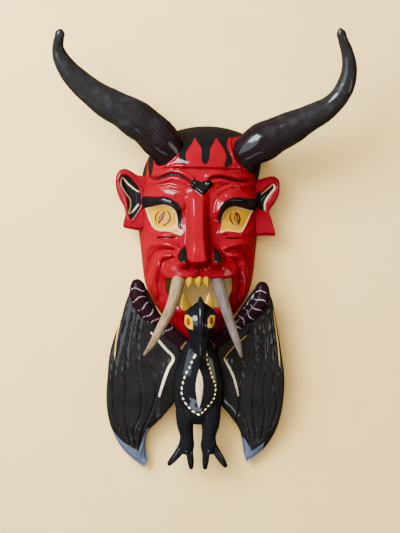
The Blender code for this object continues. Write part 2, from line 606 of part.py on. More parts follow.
def main():
    """Build the whole mask."""
    for obj in list(bpy.data.objects):
        bpy.data.objects.remove(obj)
    red = lacquer("red_lacquer", (0.60, 0.014, 0.012), 0.16)
    black = lacquer("black_lacquer", (0.010, 0.010, 0.012), 0.20)
    horn_black = lacquer("horn_black", (0.020, 0.016, 0.015), 0.34)
    antler = lacquer("antler", (0.36, 0.24, 0.17), 0.70)
    head = mask_cutter("head_form")
    torso = cutter(make_torso("torso_form", grow=FIT_GAP / UNIT))
    make_mask(red)
    make_horn("horn_left", HORN_LEFT, horn_black, head)
    make_horn("horn_right", HORN_RIGHT, horn_black, head)
    make_ear("ear_left", EAR_LEFT, EAR_LEFT_HOLLOW, red, head)
    make_ear("ear_right", EAR_RIGHT, EAR_RIGHT_HOLLOW, red, head)
    make_tusk("tusk_left", TUSK_LEFT, antler)
    make_tusk("tusk_right", TUSK_RIGHT, antler)
    make_wing("wing_left", WING_LEFT, ARM_LEFT, black, head, torso)
    make_wing("wing_right", WING_RIGHT, ARM_RIGHT, black, head, torso)
    make_dragon(black, head)
    stand_on_origin(list(bpy.data.objects))


main()
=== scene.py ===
"""Dressed model of the carved devil mask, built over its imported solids.

The carving is laid out in grid millimetres, as on the maker's bench: X across the face, Y from
chin to crown, Z out of the face. One shift takes the grid to the row frame.
"""

import json
import logging
import math
from collections.abc import Callable, Sequence
from dataclasses import dataclass, field
from enum import Enum

import bmesh
import bpy
import numpy as np
from mathutils import Matrix, Vector
from mathutils.bvhtree import BVHTree

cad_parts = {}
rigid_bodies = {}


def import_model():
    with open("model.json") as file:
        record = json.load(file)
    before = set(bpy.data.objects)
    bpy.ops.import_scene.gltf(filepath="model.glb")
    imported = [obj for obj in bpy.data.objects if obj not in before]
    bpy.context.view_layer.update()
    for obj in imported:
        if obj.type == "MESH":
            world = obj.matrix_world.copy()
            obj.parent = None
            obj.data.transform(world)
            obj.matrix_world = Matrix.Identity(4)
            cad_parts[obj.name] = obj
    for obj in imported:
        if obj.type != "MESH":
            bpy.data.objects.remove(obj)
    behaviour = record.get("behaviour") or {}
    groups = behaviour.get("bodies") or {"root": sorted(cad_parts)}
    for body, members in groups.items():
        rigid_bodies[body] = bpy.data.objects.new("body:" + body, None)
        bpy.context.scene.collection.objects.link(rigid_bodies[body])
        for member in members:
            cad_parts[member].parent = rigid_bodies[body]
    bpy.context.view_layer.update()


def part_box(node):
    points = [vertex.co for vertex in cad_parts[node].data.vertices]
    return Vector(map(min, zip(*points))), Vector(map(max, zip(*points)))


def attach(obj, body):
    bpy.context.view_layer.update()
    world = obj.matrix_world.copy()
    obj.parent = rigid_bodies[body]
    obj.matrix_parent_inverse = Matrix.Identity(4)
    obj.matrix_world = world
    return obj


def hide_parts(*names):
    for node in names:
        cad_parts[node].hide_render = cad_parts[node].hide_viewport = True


LOG = logging.getLogger("devil_mask")
MM = 0.001
Colour = tuple[float, float, float]
Line = Sequence[tuple[float, ...]]
FLOOR_Z = -0.0004  # just under the rim, in metres
BELOW = -40.0  # where a cutting form ends, well under the rim
OUTSIDE = -6.0  # the least that a paint mark says, in millimetres
SHARE_WEIGHT = 30.0  # lets a width share weigh like millimetres when sections are spaced
DULL_FADE = (0.30, 0.70)  # steepness over which a polish turns dull
COAT_FADE = (0.16, 0.30)  # steepness over which the lacquer's clear coat goes
HORN_FADE = (0.16, 0.32)  # the same on the horns


class Side(Enum):
    """Which half of the mask a paired piece belongs to."""

    LEFT = "left"
    RIGHT = "right"


# Curves and outlines


def smooth(t: np.ndarray | float) -> np.ndarray:
    """Return t eased from 0 to 1."""
    t = np.clip(t, 0.0, 1.0)
    return t * t * (3.0 - 2.0 * t)


def through(stations: Line, at: np.ndarray | float) -> np.ndarray:
    """Read a smooth curve through (position, value) stations.

    Args:
        stations: Pairs of position and value, in rising order.
        at: Positions to read, held within the stations.

    Returns:
        The values there.
    """
    keys = np.array([s[0] for s in stations], float)
    values = np.array([s[1] for s in stations], float)
    slopes = np.gradient(values, keys)
    at = np.clip(np.asarray(at, float), keys[0], keys[-1])
    i = np.clip(np.searchsorted(keys, at) - 1, 0, len(keys) - 2)
    span = keys[i + 1] - keys[i]
    t = (at - keys[i]) / span
    return (values[i] * (1 + 2 * t) * (1 - t) ** 2 + slopes[i] * span * t * (1 - t) ** 2
            + values[i + 1] * t * t * (3 - 2 * t) + slopes[i + 1] * span * t * t * (t - 1))


def along(points: Line, steps: int) -> np.ndarray:
    """Return points on a smooth curve through the given ones, columns and all."""
    table = np.array(points, float)
    gaps = np.linalg.norm(np.diff(table[:, :min(3, table.shape[1])], axis=0), axis=1)
    keys = np.concatenate(([0.0], np.cumsum(gaps)))
    at = np.linspace(0.0, keys[-1], steps)
    return np.array([through(list(zip(keys, column)), at) for column in table.T]).T


def line_distance(x: np.ndarray, y: np.ndarray, points: Line) -> np.ndarray:
    """Return the distance from each (x, y) to an open line."""
    best = np.full(np.shape(x), 1.0e9)
    for (ax, ay), (bx, by) in zip(points[:-1], points[1:]):
        dx, dy = bx - ax, by - ay
        t = np.clip(((x - ax) * dx + (y - ay) * dy) / (dx * dx + dy * dy + 1e-12), 0.0, 1.0)
        best = np.minimum(best, np.hypot(x - ax - t * dx, y - ay - t * dy))
    return best


def inside_distance(x: np.ndarray, y: np.ndarray, points: Line) -> np.ndarray:
    """Return the distance to a closed outline, positive inside it."""
    points = [(p[0], p[1]) for p in points]
    edge = line_distance(x, y, points + points[:1])
    inside = np.zeros(np.shape(x), bool)
    for (ax, ay), (bx, by) in zip(points, points[1:] + points[:1]):
        if ay != by:
            inside ^= ((ay > y) != (by > y)) & (x < (bx - ax) * (y - ay) / (by - ay) + ax)
    return np.where(inside, edge, -edge)


def hill(x: np.ndarray, y: np.ndarray, centre: Sequence[float], reach: Sequence[float],
         power: float = 2.0) -> np.ndarray:
    """Return a rounded hill of height one."""
    r = np.hypot((x - centre[0]) / reach[0], (y - centre[1]) / reach[1])
    return np.exp(-r ** power)


def ridge(x: np.ndarray, y: np.ndarray, points: Line, width: float) -> np.ndarray:
    """Return a rounded ridge of height one along a line."""
    return np.exp(-(line_distance(x, y, points) / width) ** 2)


def ridges(x: np.ndarray, y: np.ndarray, z: np.ndarray, rows: Sequence) -> np.ndarray:
    """Add ridges, given as (height, line, width), to a relief; a height below zero is a groove."""
    for height, line, width in rows:
        z = z + height * ridge(x, y, line, width)
    return z


@dataclass(frozen=True)
class Outline:
    """A closed painted area, in grid millimetres."""

    points: Line
    rounded: bool = True

    def depth(self, x: np.ndarray, y: np.ndarray) -> np.ndarray:
        """Return how far inside the area each place lies."""
        if self.rounded:
            points = along(tuple(self.points) + (self.points[0],), 4 * len(self.points) + 1)[:-1]
        else:
            points = np.array(self.points, float)
        return near_only(x, y, points, lambda a, b: inside_distance(a, b, points))


@dataclass(frozen=True)
class Stroke:
    """A painted line that may taper to both ends, in grid millimetres."""

    points: Line
    width: float
    taper: float = 0.0

    def depth(self, x: np.ndarray, y: np.ndarray) -> np.ndarray:
        """Return how far inside the stroke each place lies."""
        points = along(self.points, 4 * len(self.points))

        def within(a: np.ndarray, b: np.ndarray) -> np.ndarray:
            """Return half the width less the distance to the line."""
            reach = self.width / 2
            if self.taper:
                ends = np.minimum(np.hypot(a - points[0, 0], b - points[0, 1]),
                                  np.hypot(a - points[-1, 0], b - points[-1, 1]))
                reach = reach * (1.0 - self.taper * (1.0 - smooth(ends / (6.0 * self.width))))
            return reach - line_distance(a, b, points)

        return near_only(x, y, points, within)


def near_only(x: np.ndarray, y: np.ndarray, points: np.ndarray,
              measure: Callable[[np.ndarray, np.ndarray], np.ndarray]) -> np.ndarray:
    """Measure only the places near a shape; the rest lie well outside it.

    Args:
        x: Places across.
        y: Places upwards.
        points: The shape's points.
        measure: Gives the depth at the places that are near.

    Returns:
        The depth at every place.
    """
    low, high = points.min(axis=0) + OUTSIDE, points.max(axis=0) - OUTSIDE
    near = (x > low[0]) & (x < high[0]) & (y > low[1]) & (y < high[1])
    depth = np.full(np.shape(x), OUTSIDE)
    if near.any():
        depth[near] = np.maximum(measure(x[near], y[near]), OUTSIDE)
    return depth


# Meshes


def put(name: str, vertices: Sequence | np.ndarray, faces: Sequence,
        material: bpy.types.Material | None = None, angle: float | None = 40.0) -> bpy.types.Object:
    """Make an object of a mesh whose place is in its vertices.

    Args:
        name: The object's name.
        vertices: Places in metres.
        faces: Vertex numbers of each face.
        material: The finish, if it has one yet.
        angle: The angle in degrees past which an edge stays sharp.

    Returns:
        The new object.
    """
    mesh = bpy.data.meshes.new(name)
    mesh.from_pydata([tuple(v) for v in vertices], [], [tuple(f) for f in faces])
    obj = bpy.data.objects.new(name, mesh)
    bpy.context.scene.collection.objects.link(obj)
    close(obj, angle)
    if material is not None:
        mesh.materials.append(material)
    return obj


def close(obj: bpy.types.Object, angle: float | None = 40.0) -> None:
    """Merge an object's doubled points, turn its faces outwards and shade it smooth."""
    bm = bmesh.new()
    bm.from_mesh(obj.data)
    bmesh.ops.remove_doubles(bm, verts=bm.verts, dist=1e-6)
    bmesh.ops.dissolve_degenerate(bm, edges=bm.edges, dist=1e-7)
    bmesh.ops.recalc_face_normals(bm, faces=bm.faces)
    bm.to_mesh(obj.data)
    bm.free()
    shade(obj, angle)


def shade(obj: bpy.types.Object, angle: float | None = 40.0) -> None:
    """Shade an object smooth, with sharp edges past an angle in degrees."""
    obj.data.shade_smooth()
    if angle is not None:
        obj.data.set_sharp_from_angle(angle=math.radians(angle))


def clad(obj: bpy.types.Object, finish: bpy.types.Material, angle: float) -> None:
    """Give an object one finish all over and shade it."""
    obj.data.materials.clear()
    obj.data.materials.append(finish)
    shade(obj, angle)


def settle(obj: bpy.types.Object) -> bpy.types.Object:
    """Turn an object's modifiers into its plain mesh and take them off."""
    bpy.context.view_layer.update()
    graph = bpy.context.evaluated_depsgraph_get()
    mesh = bpy.data.meshes.new_from_object(obj.evaluated_get(graph), depsgraph=graph)
    obj.modifiers.clear()
    old = obj.data
    obj.data = mesh
    bpy.data.meshes.remove(old)
    mesh.name = obj.name
    return obj


def cut(obj: bpy.types.Object, tools: Sequence[bpy.types.Object]) -> None:
    """Cut an object with tools by the exact solver, and take the tools away."""
    for tool in tools:
        modifier = obj.modifiers.new("Cut", "BOOLEAN")
        modifier.operation = "DIFFERENCE"
        modifier.solver = "EXACT"
        modifier.material_mode = "TRANSFER"
        modifier.object = tool
    settle(obj)
    for tool in tools:
        remove(tool)


def remove(obj: bpy.types.Object) -> None:
    """Take an object and its mesh away."""
    mesh = obj.data
    bpy.data.objects.remove(obj)
    bpy.data.meshes.remove(mesh)


def joined(name: str, parts: Sequence[bpy.types.Object]) -> bpy.types.Object:
    """Put several meshes into one new object and take the parts away."""
    vertices: list = []
    faces: list = []
    for part in parts:
        start = len(vertices)
        vertices += [tuple(v.co) for v in part.data.vertices]
        faces += [tuple(start + k for k in p.vertices) for p in part.data.polygons]
    for part in parts:
        remove(part)
    return put(name, vertices, faces)


def loft(name: str, loops: np.ndarray | Sequence, material: bpy.types.Material | None = None,
         angle: float | None = 40.0) -> bpy.types.Object:
    """Loft closed loops of equal length and cap both ends.

    Args:
        name: The object's name.
        loops: Loops of points in metres.
        material: The finish, if it has one yet.
        angle: The angle in degrees past which an edge stays sharp.

    Returns:
        The closed object.
    """
    loops = [np.asarray(loop, float) for loop in loops]
    count = len(loops[0])
    vertices = np.concatenate(loops)
    faces: list = []
    for j in range(len(loops) - 1):
        for k in range(count):
            n = (k + 1) % count
            faces.append((j * count + k, j * count + n, (j + 1) * count + n, (j + 1) * count + k))
    faces.append(tuple(range(count))[::-1])
    faces.append(tuple((len(loops) - 1) * count + k for k in range(count)))
    return put(name, vertices, faces, material, angle)


def counts(*full: int, quick_share: float = 0.5) -> list[int]:
    """Return the numbers of points as given."""
    share = 1.0
    return [int(count * share) for count in full]


def places(obj: bpy.types.Object) -> np.ndarray:
    """Return an object's points as an array, in metres."""
    flat = np.zeros(len(obj.data.vertices) * 3, np.float32)
    obj.data.vertices.foreach_get("co", flat)
    return flat.reshape(-1, 3).astype(float)


def mark(obj: bpy.types.Object, name: str, values: np.ndarray) -> None:
    """Keep a number at each of an object's points for its finish to read."""
    attribute = obj.data.attributes.new(name, "FLOAT", "POINT")
    attribute.data.foreach_set("value", np.asarray(values, np.float32))


# Node trees


class Recipe:
    """A short way to write the nodes of one tree."""

    def __init__(self, tree: bpy.types.NodeTree) -> None:
        """Start on a tree."""
        self.tree = tree

    def node(self, kind: str, inputs: dict | None = None, **settings: object) -> bpy.types.Node:
        """Add a node.

        Args:
            kind: The node's type.
            inputs: Values or sockets for its inputs, by name or number.
            settings: The node's own settings.

        Returns:
            The node.
        """
        made = self.tree.nodes.new(kind)
        for key, value in settings.items():
            setattr(made, key, value)
        for key, value in (inputs or {}).items():
            if isinstance(value, bpy.types.NodeSocket):
                self.tree.links.new(value, made.inputs[key])
            else:
                made.inputs[key].default_value = value
        return made

    def math(self, operation: str, a: object, b: object = 0.0) -> bpy.types.NodeSocket:
        """Return the result of a sum on numbers or sockets."""
        return self.node("ShaderNodeMath", {0: a, 1: b}, operation=operation).outputs[0]

    def plus(self, base: object, added: object, share: float) -> bpy.types.NodeSocket:
        """Return a number with a share of another added."""
        return self.math("ADD", base, self.math("MULTIPLY", added, share))

    def noise(self, vector: bpy.types.NodeSocket, scale: float, detail: float = 2.0,
              distortion: float = 0.0) -> bpy.types.NodeSocket:
        """Return a noise from 0 to 1."""
        inputs = {"Vector": vector, "Scale": scale, "Detail": detail, "Distortion": distortion}
        return self.node("ShaderNodeTexNoise", inputs).outputs[0]

    def stored(self, geometry: bpy.types.NodeSocket, name: str, value: bpy.types.NodeSocket,
               kind: str) -> bpy.types.NodeSocket:
        """Keep a value at a geometry's points under a name."""
        inputs = {"Geometry": geometry, "Name": name, "Value": value}
        return self.node("GeometryNodeStoreNamedAttribute", inputs, data_type=kind,
                         domain="POINT").outputs[0]

    def mix(self, share: object, a: object, b: object) -> bpy.types.NodeSocket:
        """Return a colour between two."""
        colours = {k: (*v, 1.0) if isinstance(v, tuple) else v for k, v in ((6, a), (7, b))}
        return self.node("ShaderNodeMix", {0: share, **colours}, data_type="RGBA").outputs[2]

    def band(self, value: object, low: float, high: float, to_low: float = 0.0,
             to_high: float = 1.0) -> bpy.types.NodeSocket:
        """Return a smooth step of a value between two limits."""
        inputs = {0: value, 1: low, 2: high, 3: to_low, 4: to_high}
        return self.node("ShaderNodeMapRange", inputs, interpolation_type="SMOOTHSTEP").outputs[0]


class Finish(Recipe):
    """The start of every material: a shader, the place on the piece and its marks."""

    def __init__(self, name: str) -> None:
        """Make an empty material."""
        self.material = bpy.data.materials.new(name)
        self.material.use_nodes = True
        super().__init__(self.material.node_tree)
        self.shader = self.tree.nodes["Principled BSDF"]
        self.place = self.node("ShaderNodeTexCoord").outputs["Object"]

    def marked(self, name: str) -> bpy.types.NodeSocket:
        """Read a number kept at the piece's points."""
        return self.node("ShaderNodeAttribute", attribute_name=name).outputs["Fac"]

    def stretched(self, scale: Colour) -> bpy.types.NodeSocket:
        """Return the place on the piece, scaled along each axis."""
        return self.node("ShaderNodeMapping", {0: self.place, 3: scale}).outputs[0]

    def fibres(self, across: float, lengthwise: float) -> bpy.types.NodeSocket:
        """Return the place on a swept piece, around it and along it, for its long fibres."""
        around = self.node("ShaderNodeAttribute", attribute_name="around").outputs["Vector"]
        wide = self.node("ShaderNodeVectorMath", {0: around, 1: (across, across, 0.0)},
                         operation="MULTIPLY").outputs[0]
        run = self.math("MULTIPLY", self.marked("run"), lengthwise)
        lift = self.node("ShaderNodeCombineXYZ", {2: run}).outputs[0]
        return self.node("ShaderNodeVectorMath", {0: wide, 1: lift}, operation="ADD").outputs[0]

    def faded(self, rough: object, fade: tuple[float, float], weight: float,
              edge_weight: float) -> tuple[bpy.types.NodeSocket, bpy.types.NodeSocket]:
        """Take the gloss away where the surface turns steep.

        Args:
            rough: The roughness seen square on.
            fade: Where the clear coat's fading starts and ends, 0 square on and 1 edge on.
            weight: The clear coat seen square on.
            edge_weight: The clear coat at the steep edges.

        Returns:
            The roughness and the clear coat's weight.
        """
        facing = self.node("ShaderNodeLayerWeight", {"Blend": 0.5}).outputs["Facing"]
        dulled = self.band(facing, *DULL_FADE, 0.0, 0.95)
        return self.math("MAXIMUM", rough, dulled), self.band(facing, *fade, weight, edge_weight)

    def bump(self, height: object, distance: float) -> bpy.types.NodeSocket:
        """Return the normal of a relief of so many metres."""
        inputs = {"Height": height, "Distance": distance, "Strength": 1.0}
        return self.node("ShaderNodeBump", inputs).outputs[0]

    def wear(self, **inputs: object) -> bpy.types.Material:
        """Set the shader's inputs and return the material."""
        for name, value in inputs.items():
            socket = self.shader.inputs[name.replace("_", " ")]
            if isinstance(value, bpy.types.NodeSocket):
                self.tree.links.new(value, socket)
            else:
                socket.default_value = (*value, 1.0) if isinstance(value, tuple) else value
        return self.material


@dataclass(frozen=True)
class Coat:
    """One colour of paint, laid where a mark is above zero."""

    mark: str
    colour: Colour
    soften: float = 0.22


@dataclass(frozen=True)
class Lacquer:
    """Glossy lacquer over carved wood, in one ground colour with others laid on it."""

    name: str
    ground: Colour
    deep: Colour
    coats: tuple[Coat, ...] = ()
    roughness: float = 0.14
    coat_weight: float = 0.8
    wave: float = 0.5
    chisel: float = 0.25
    bare_inside: bool = False

    def material(self) -> bpy.types.Material:
        """Build the finish.

        Returns:
            The material: a mottled ground, the coats, a clear coat and a hand-rubbed relief.
        """
        f = Finish(self.name)
        mottle = f.noise(f.place, 38.0, 4.0)
        streak = f.noise(f.stretched((180.0, 40.0, 60.0)), 1.0, 3.0)
        lighter = tuple(min(1.0, 1.25 * c) for c in self.ground)
        colour = f.mix(f.band(mottle, 0.38, 0.72, 0.0, 0.55), self.ground, self.deep)
        colour = f.mix(f.band(streak, 0.5, 0.8, 0.0, 0.18), colour, lighter)
        for coat in self.coats:
            edge = f.math("SUBTRACT", f.plus(f.marked(coat.mark), f.noise(f.place, 900.0), 0.16), 0.08)
            shade_colour = tuple(0.72 * c for c in coat.colour)
            shaded = f.mix(f.band(mottle, 0.35, 0.75, 0.0, 0.5), coat.colour, shade_colour)
            colour = f.mix(f.band(edge, -coat.soften, coat.soften), colour, shaded)
        rough = f.band(f.noise(f.place, 120.0, 3.0), 0.3, 0.75, self.roughness, self.roughness + 0.10)
        waves = f.noise(f.place, 55.0, 1.5)
        cells = f.node("ShaderNodeTexVoronoi", {"Vector": f.place, "Scale": 150.0, "Smoothness": 0.6},
                       feature="SMOOTH_F1").outputs["Distance"]
        relief = f.plus(f.math("MULTIPLY", waves, self.wave), cells, self.chisel)
        relief = f.plus(relief, f.noise(f.place, 1400.0), 0.012)
        rough, weight = f.faded(rough, COAT_FADE, self.coat_weight, 0.05 * self.coat_weight)
        if self.bare_inside:
            bare = f.marked("bare")
            fibre = f.noise(f.stretched((260.0, 22.0, 260.0)), 1.0, 5.0, 0.6)
            wood = f.mix(f.band(fibre, 0.3, 0.7), (0.34, 0.19, 0.085), (0.52, 0.33, 0.17))
            colour = f.mix(bare, colour, wood)
            rough = f.plus(rough, bare, 0.5)
            relief = f.plus(relief, f.math("MULTIPLY", bare, fibre), 0.4)
        return f.wear(Base_Color=colour, Roughness=rough, Normal=f.bump(relief, MM), Coat_Weight=weight,
                      Coat_Roughness=0.06, Coat_IOR=1.5, Specular_IOR_Level=0.0)


@dataclass(frozen=True)
class HornFinish:
    """Black-stained horn with a maroon root, random grey patches away from the root and an oiled shine."""

    name: str = "horn_black"
    ground: Colour = (0.014, 0.0135, 0.0135)
    root: Colour = (0.007, 0.002, 0.0025)
    streak: Colour = (0.024, 0.023, 0.029)
    grey_patch: Colour = (0.030, 0.029, 0.035)

    def material(self) -> bpy.types.Material:
        """Build the finish from the marks run and around."""
        f = Finish(self.name)
        run = f.marked("run")
        grain = f.noise(f.fibres(14.0, 9.0), 1.0, 5.0, 0.3)
        blotch = f.noise(f.place, 60.0, 4.0)
        colour = f.mix(f.band(run, 0.15, 0.03, 0.0, 0.9), self.ground, self.root)
        colour = f.mix(f.band(grain, 0.5, 0.75, 0.0, 0.5), colour, self.streak)
        # random grey patches, a little lighter than the ground, away from the root
        grey_patch = f.math("MULTIPLY", f.band(blotch, 0.50, 0.70, 0.0, 0.6), f.band(run, 0.03, 0.12))
        colour = f.mix(grey_patch, colour, self.grey_patch)
        relief = f.plus(f.math("MULTIPLY", grain, 0.8), blotch, 2.6)
        relief = f.plus(relief, f.noise(f.place, 700.0, 3.0), 0.05)
        rough, weight = f.faded(f.band(blotch, 0.3, 0.7, 0.22, 0.42), HORN_FADE, 1.0, 0.04)
        return f.wear(Base_Color=colour, Roughness=rough, Normal=f.bump(relief, MM), Coat_Weight=weight,
                      Coat_Roughness=0.13, Coat_IOR=1.5, Specular_IOR_Level=0.0)


@dataclass(frozen=True)
class AntlerFinish:
    """Dry antler: long grey-brown furrows over a pale ground, darker at the point."""

    name: str
    pale: Colour
    brown: Colour
    point: Colour = (0.055, 0.036, 0.027)

    def material(self) -> bpy.types.Material:
        """Build the finish from the marks run and around."""
        f = Finish(self.name)
        fibres = f.fibres(3.2, 34.0)
        furrow = f.noise(fibres, 1.6, 6.0, 0.5)
        fine = f.noise(fibres, 6.0, 5.0, 0.4)
        colour = f.mix(f.band(furrow, 0.40, 0.62), self.pale, self.brown)
        colour = f.mix(f.band(fine, 0.52, 0.70, 0.0, 0.65), colour, tuple(0.45 * c for c in self.brown))
        colour = f.mix(f.band(f.marked("run"), 0.095, 0.122, 0.0, 0.7), colour, self.point)
        patches = f.band(f.noise(f.place, 75.0, 3.0), 0.45, 0.75, 0.0, 0.4)
        colour = f.mix(patches, colour, tuple(1.15 * c for c in self.pale))
        relief = f.plus(f.math("MULTIPLY", furrow, 0.9), fine, 0.35)
        return f.wear(Base_Color=colour, Roughness=f.band(fine, 0.3, 0.7, 0.52, 0.78),
                      Normal=f.bump(relief, MM))


@dataclass(frozen=True)
class PlainPaint:
    """A floor or a small painted detail in one lively colour."""

    name: str
    colour: Colour
    shade: Colour
    roughness: float = 0.25
    scale: float = 60.0
    coat_weight: float = 0.0

    def material(self) -> bpy.types.Material:
        """Build the finish."""
        f = Finish(self.name)
        mottle = f.noise(f.place, self.scale, 4.0)
        return f.wear(Base_Color=f.mix(f.band(mottle, 0.35, 0.7), self.colour, self.shade),
                      Roughness=f.band(mottle, 0.3, 0.7, self.roughness, self.roughness + 0.12),
                      Normal=f.bump(f.noise(f.place, 8.0 * self.scale, 2.0), 0.05 * MM),
                      Coat_Weight=self.coat_weight, Coat_Roughness=0.06)


# The bench: where the grid lies in the row frame


@dataclass
class Bench:
    """Turns grid millimetres into the row frame."""

    shift: Vector = field(default_factory=lambda: Vector((0.0, 0.0, 0.0)))

    def metres(self, points: np.ndarray | Sequence) -> np.ndarray:
        """Return places on the grid as metres in the row frame."""
        return np.asarray(points, float) * MM + np.array(self.shift)

    def path(self, points: Line, steps: int) -> np.ndarray:
        """Return a smooth line in metres, with its radius shares in column four."""
        made = along(points, steps)
        made[:, :3] = self.metres(made[:, :3])
        return made

    def grid(self, obj: bpy.types.Object) -> tuple[np.ndarray, np.ndarray, np.ndarray]:
        """Return an object's points on the grid."""
        x, y, z = ((places(obj) - np.array(self.shift)) / MM).T
        return x, y, z

    def paint(self, obj: bpy.types.Object, name: str, shapes: Sequence[Outline | Stroke],
              where: np.ndarray | None = None) -> None:
        """Mark where some painted shapes lie on a piece.

        Args:
            obj: The piece.
            name: The mark that the finish reads.
            shapes: Areas and strokes, seen from above.
            where: True at the points that may be painted.
        """
        x, y, _ = self.grid(obj)
        depth = np.full(len(x), OUTSIDE)
        for shape in shapes:
            depth = np.maximum(depth, shape.depth(x, y))
        if where is not None:
            depth = np.where(where, depth, OUTSIDE)
        mark(obj, name, depth)


# Sweeps made by nodes


class LineTool:
    """A node tree with named inputs that is run on a line of points."""

    NAME = ""
    INPUTS: tuple[tuple[str, str], ...] = ()

    def __init__(self) -> None:
        """Build the tree with its named inputs."""
        self.tree = bpy.data.node_groups.new(self.NAME, "GeometryNodeTree")
        self.inputs: dict[str, str] = {}
        for name, kind in (("Line", "Geometry"), *self.INPUTS, ("Finish", "Material")):
            socket = self.tree.interface.new_socket(name=name, in_out="INPUT",
                                                    socket_type=f"NodeSocket{kind}")
            self.inputs[name] = socket.identifier
        self.tree.interface.new_socket(name="Mesh", in_out="OUTPUT", socket_type="NodeSocketGeometry")
        self.build()

    def build(self) -> None:
        """Lay the nodes from the line to the finished mesh."""
        raise NotImplementedError

    def hand_out(self, r: Recipe, mesh: bpy.types.NodeSocket, finish: bpy.types.NodeSocket) -> None:
        """End the tree: realize what was made and give it its material."""
        mesh = r.node("GeometryNodeRealizeInstances", {"Geometry": mesh}).outputs[0]
        mesh = r.node("GeometryNodeSetMaterial", {"Geometry": mesh, "Material": finish}).outputs[0]
        self.tree.links.new(mesh, r.node("NodeGroupOutput").inputs[0])

    def run(self, name: str, line: np.ndarray, values: dict[str, object]) -> bpy.types.Object:
        """Run the tree on a line.

        Args:
            name: The object's name.
            line: Points in metres; column four, if there is one, is kept as the mark share.
            values: Values of the tree's inputs by name; None leaves one as it is.

        Returns:
            What the tree makes, as a plain mesh.
        """
        mesh = bpy.data.meshes.new(name)
        mesh.from_pydata([tuple(p[:3]) for p in line], [(k, k + 1) for k in range(len(line) - 1)], [])
        obj = bpy.data.objects.new(name, mesh)
        bpy.context.scene.collection.objects.link(obj)
        if line.shape[1] > 3:
            mark(obj, "share", line[:, 3])
        modifier = obj.modifiers.new(self.NAME, "NODES")
        modifier.node_group = self.tree
        for key, value in values.items():
            if value is not None:
                modifier[self.inputs[key]] = value
        return settle(obj)


class SweepTree(LineTool):
    """The node tree of a tapered, rippled tube along a line of points."""

    NAME = "tapered_sweep"
    INPUTS = (("Radius", "Float"), ("Sides", "Int"), ("Ripples", "Float"), ("Ripple Size", "Float"),
              ("Roughness", "Float"), ("Grain", "Float"), ("Seed", "Float"))

    def build(self) -> None:
        """Lay the nodes from the line to the finished tube."""
        r = Recipe(self.tree)
        given = r.node("NodeGroupInput").outputs
        curve = r.node("GeometryNodeMeshToCurve", {0: given["Line"]}).outputs[0]
        spline = r.node("GeometryNodeSplineParameter").outputs
        curve = r.stored(curve, "run", spline["Length"], "FLOAT")
        share = r.node("GeometryNodeInputNamedAttribute", {"Name": "share"}, data_type="FLOAT").outputs[0]
        turn = r.math("MULTIPLY", r.math("MULTIPLY", spline["Factor"], given["Ripples"]), 2.0 * math.pi)
        swell = r.math("MULTIPLY", r.math("SINE", turn), given["Ripple Size"])
        swell = r.math("MULTIPLY", swell, r.math("SUBTRACT", 1.0, spline["Factor"]))
        size = r.math("MULTIPLY", r.math("MULTIPLY", share, given["Radius"]), r.math("ADD", swell, 1.0))
        circle = r.node("GeometryNodeCurvePrimitiveCircle", {"Resolution": given["Sides"], "Radius": 1.0},
                        mode="RADIUS").outputs[0]
        spot = r.node("GeometryNodeInputPosition").outputs[0]
        circle = r.stored(circle, "around", spot, "FLOAT_VECTOR")
        tube = r.node("GeometryNodeCurveToMesh", {"Curve": curve, "Profile Curve": circle, "Scale": size,
                                                 "Fill Caps": True}).outputs[0]
        seed = r.node("ShaderNodeCombineXYZ", {0: given["Seed"], 1: given["Seed"]}).outputs[0]
        place = r.node("ShaderNodeVectorMath", {0: spot, 1: seed}, operation="ADD").outputs[0]
        rough = r.noise(place, given["Grain"], 3.0)
        lift = r.math("MULTIPLY", r.math("SUBTRACT", rough, 0.5), given["Roughness"])
        normal = r.node("GeometryNodeInputNormal").outputs[0]
        offset = r.node("ShaderNodeVectorMath", {0: normal, "Scale": lift}, operation="SCALE").outputs[0]
        tube = r.node("GeometryNodeSetPosition", {"Geometry": tube, "Offset": offset}).outputs[0]
        self.hand_out(r, tube, given["Finish"])

    def make(self, name: str, line: np.ndarray, radius: float, finish: bpy.types.Material | None = None,
             sides: int = 24, ripples: float = 0.0, ripple_size: float = 0.0, roughness: float = 0.0,
             grain: float = 60.0, seed: float = 0.0) -> bpy.types.Object:
        """Sweep a tube.

        Args:
            name: The object's name.
            line: Points in metres with the radius share in column four.
            radius: The radius in metres where the share is one.
            finish: The material.
            sides: Points around the tube.
            ripples: Number of swellings along it.
            ripple_size: Their height as a share of the radius, fading to the tip.
            roughness: Height of the uneven surface in metres.
            grain: How fine the unevenness is.
            seed: Shifts the unevenness.

        Returns:
            The tube as a plain closed mesh.
        """
        tube = self.run(name, line, {"Radius": radius, "Sides": sides, "Ripples": ripples,
                                     "Ripple Size": ripple_size, "Roughness": roughness, "Grain": grain,
                                     "Seed": seed, "Finish": finish})
        close(tube, 50.0)
        return tube


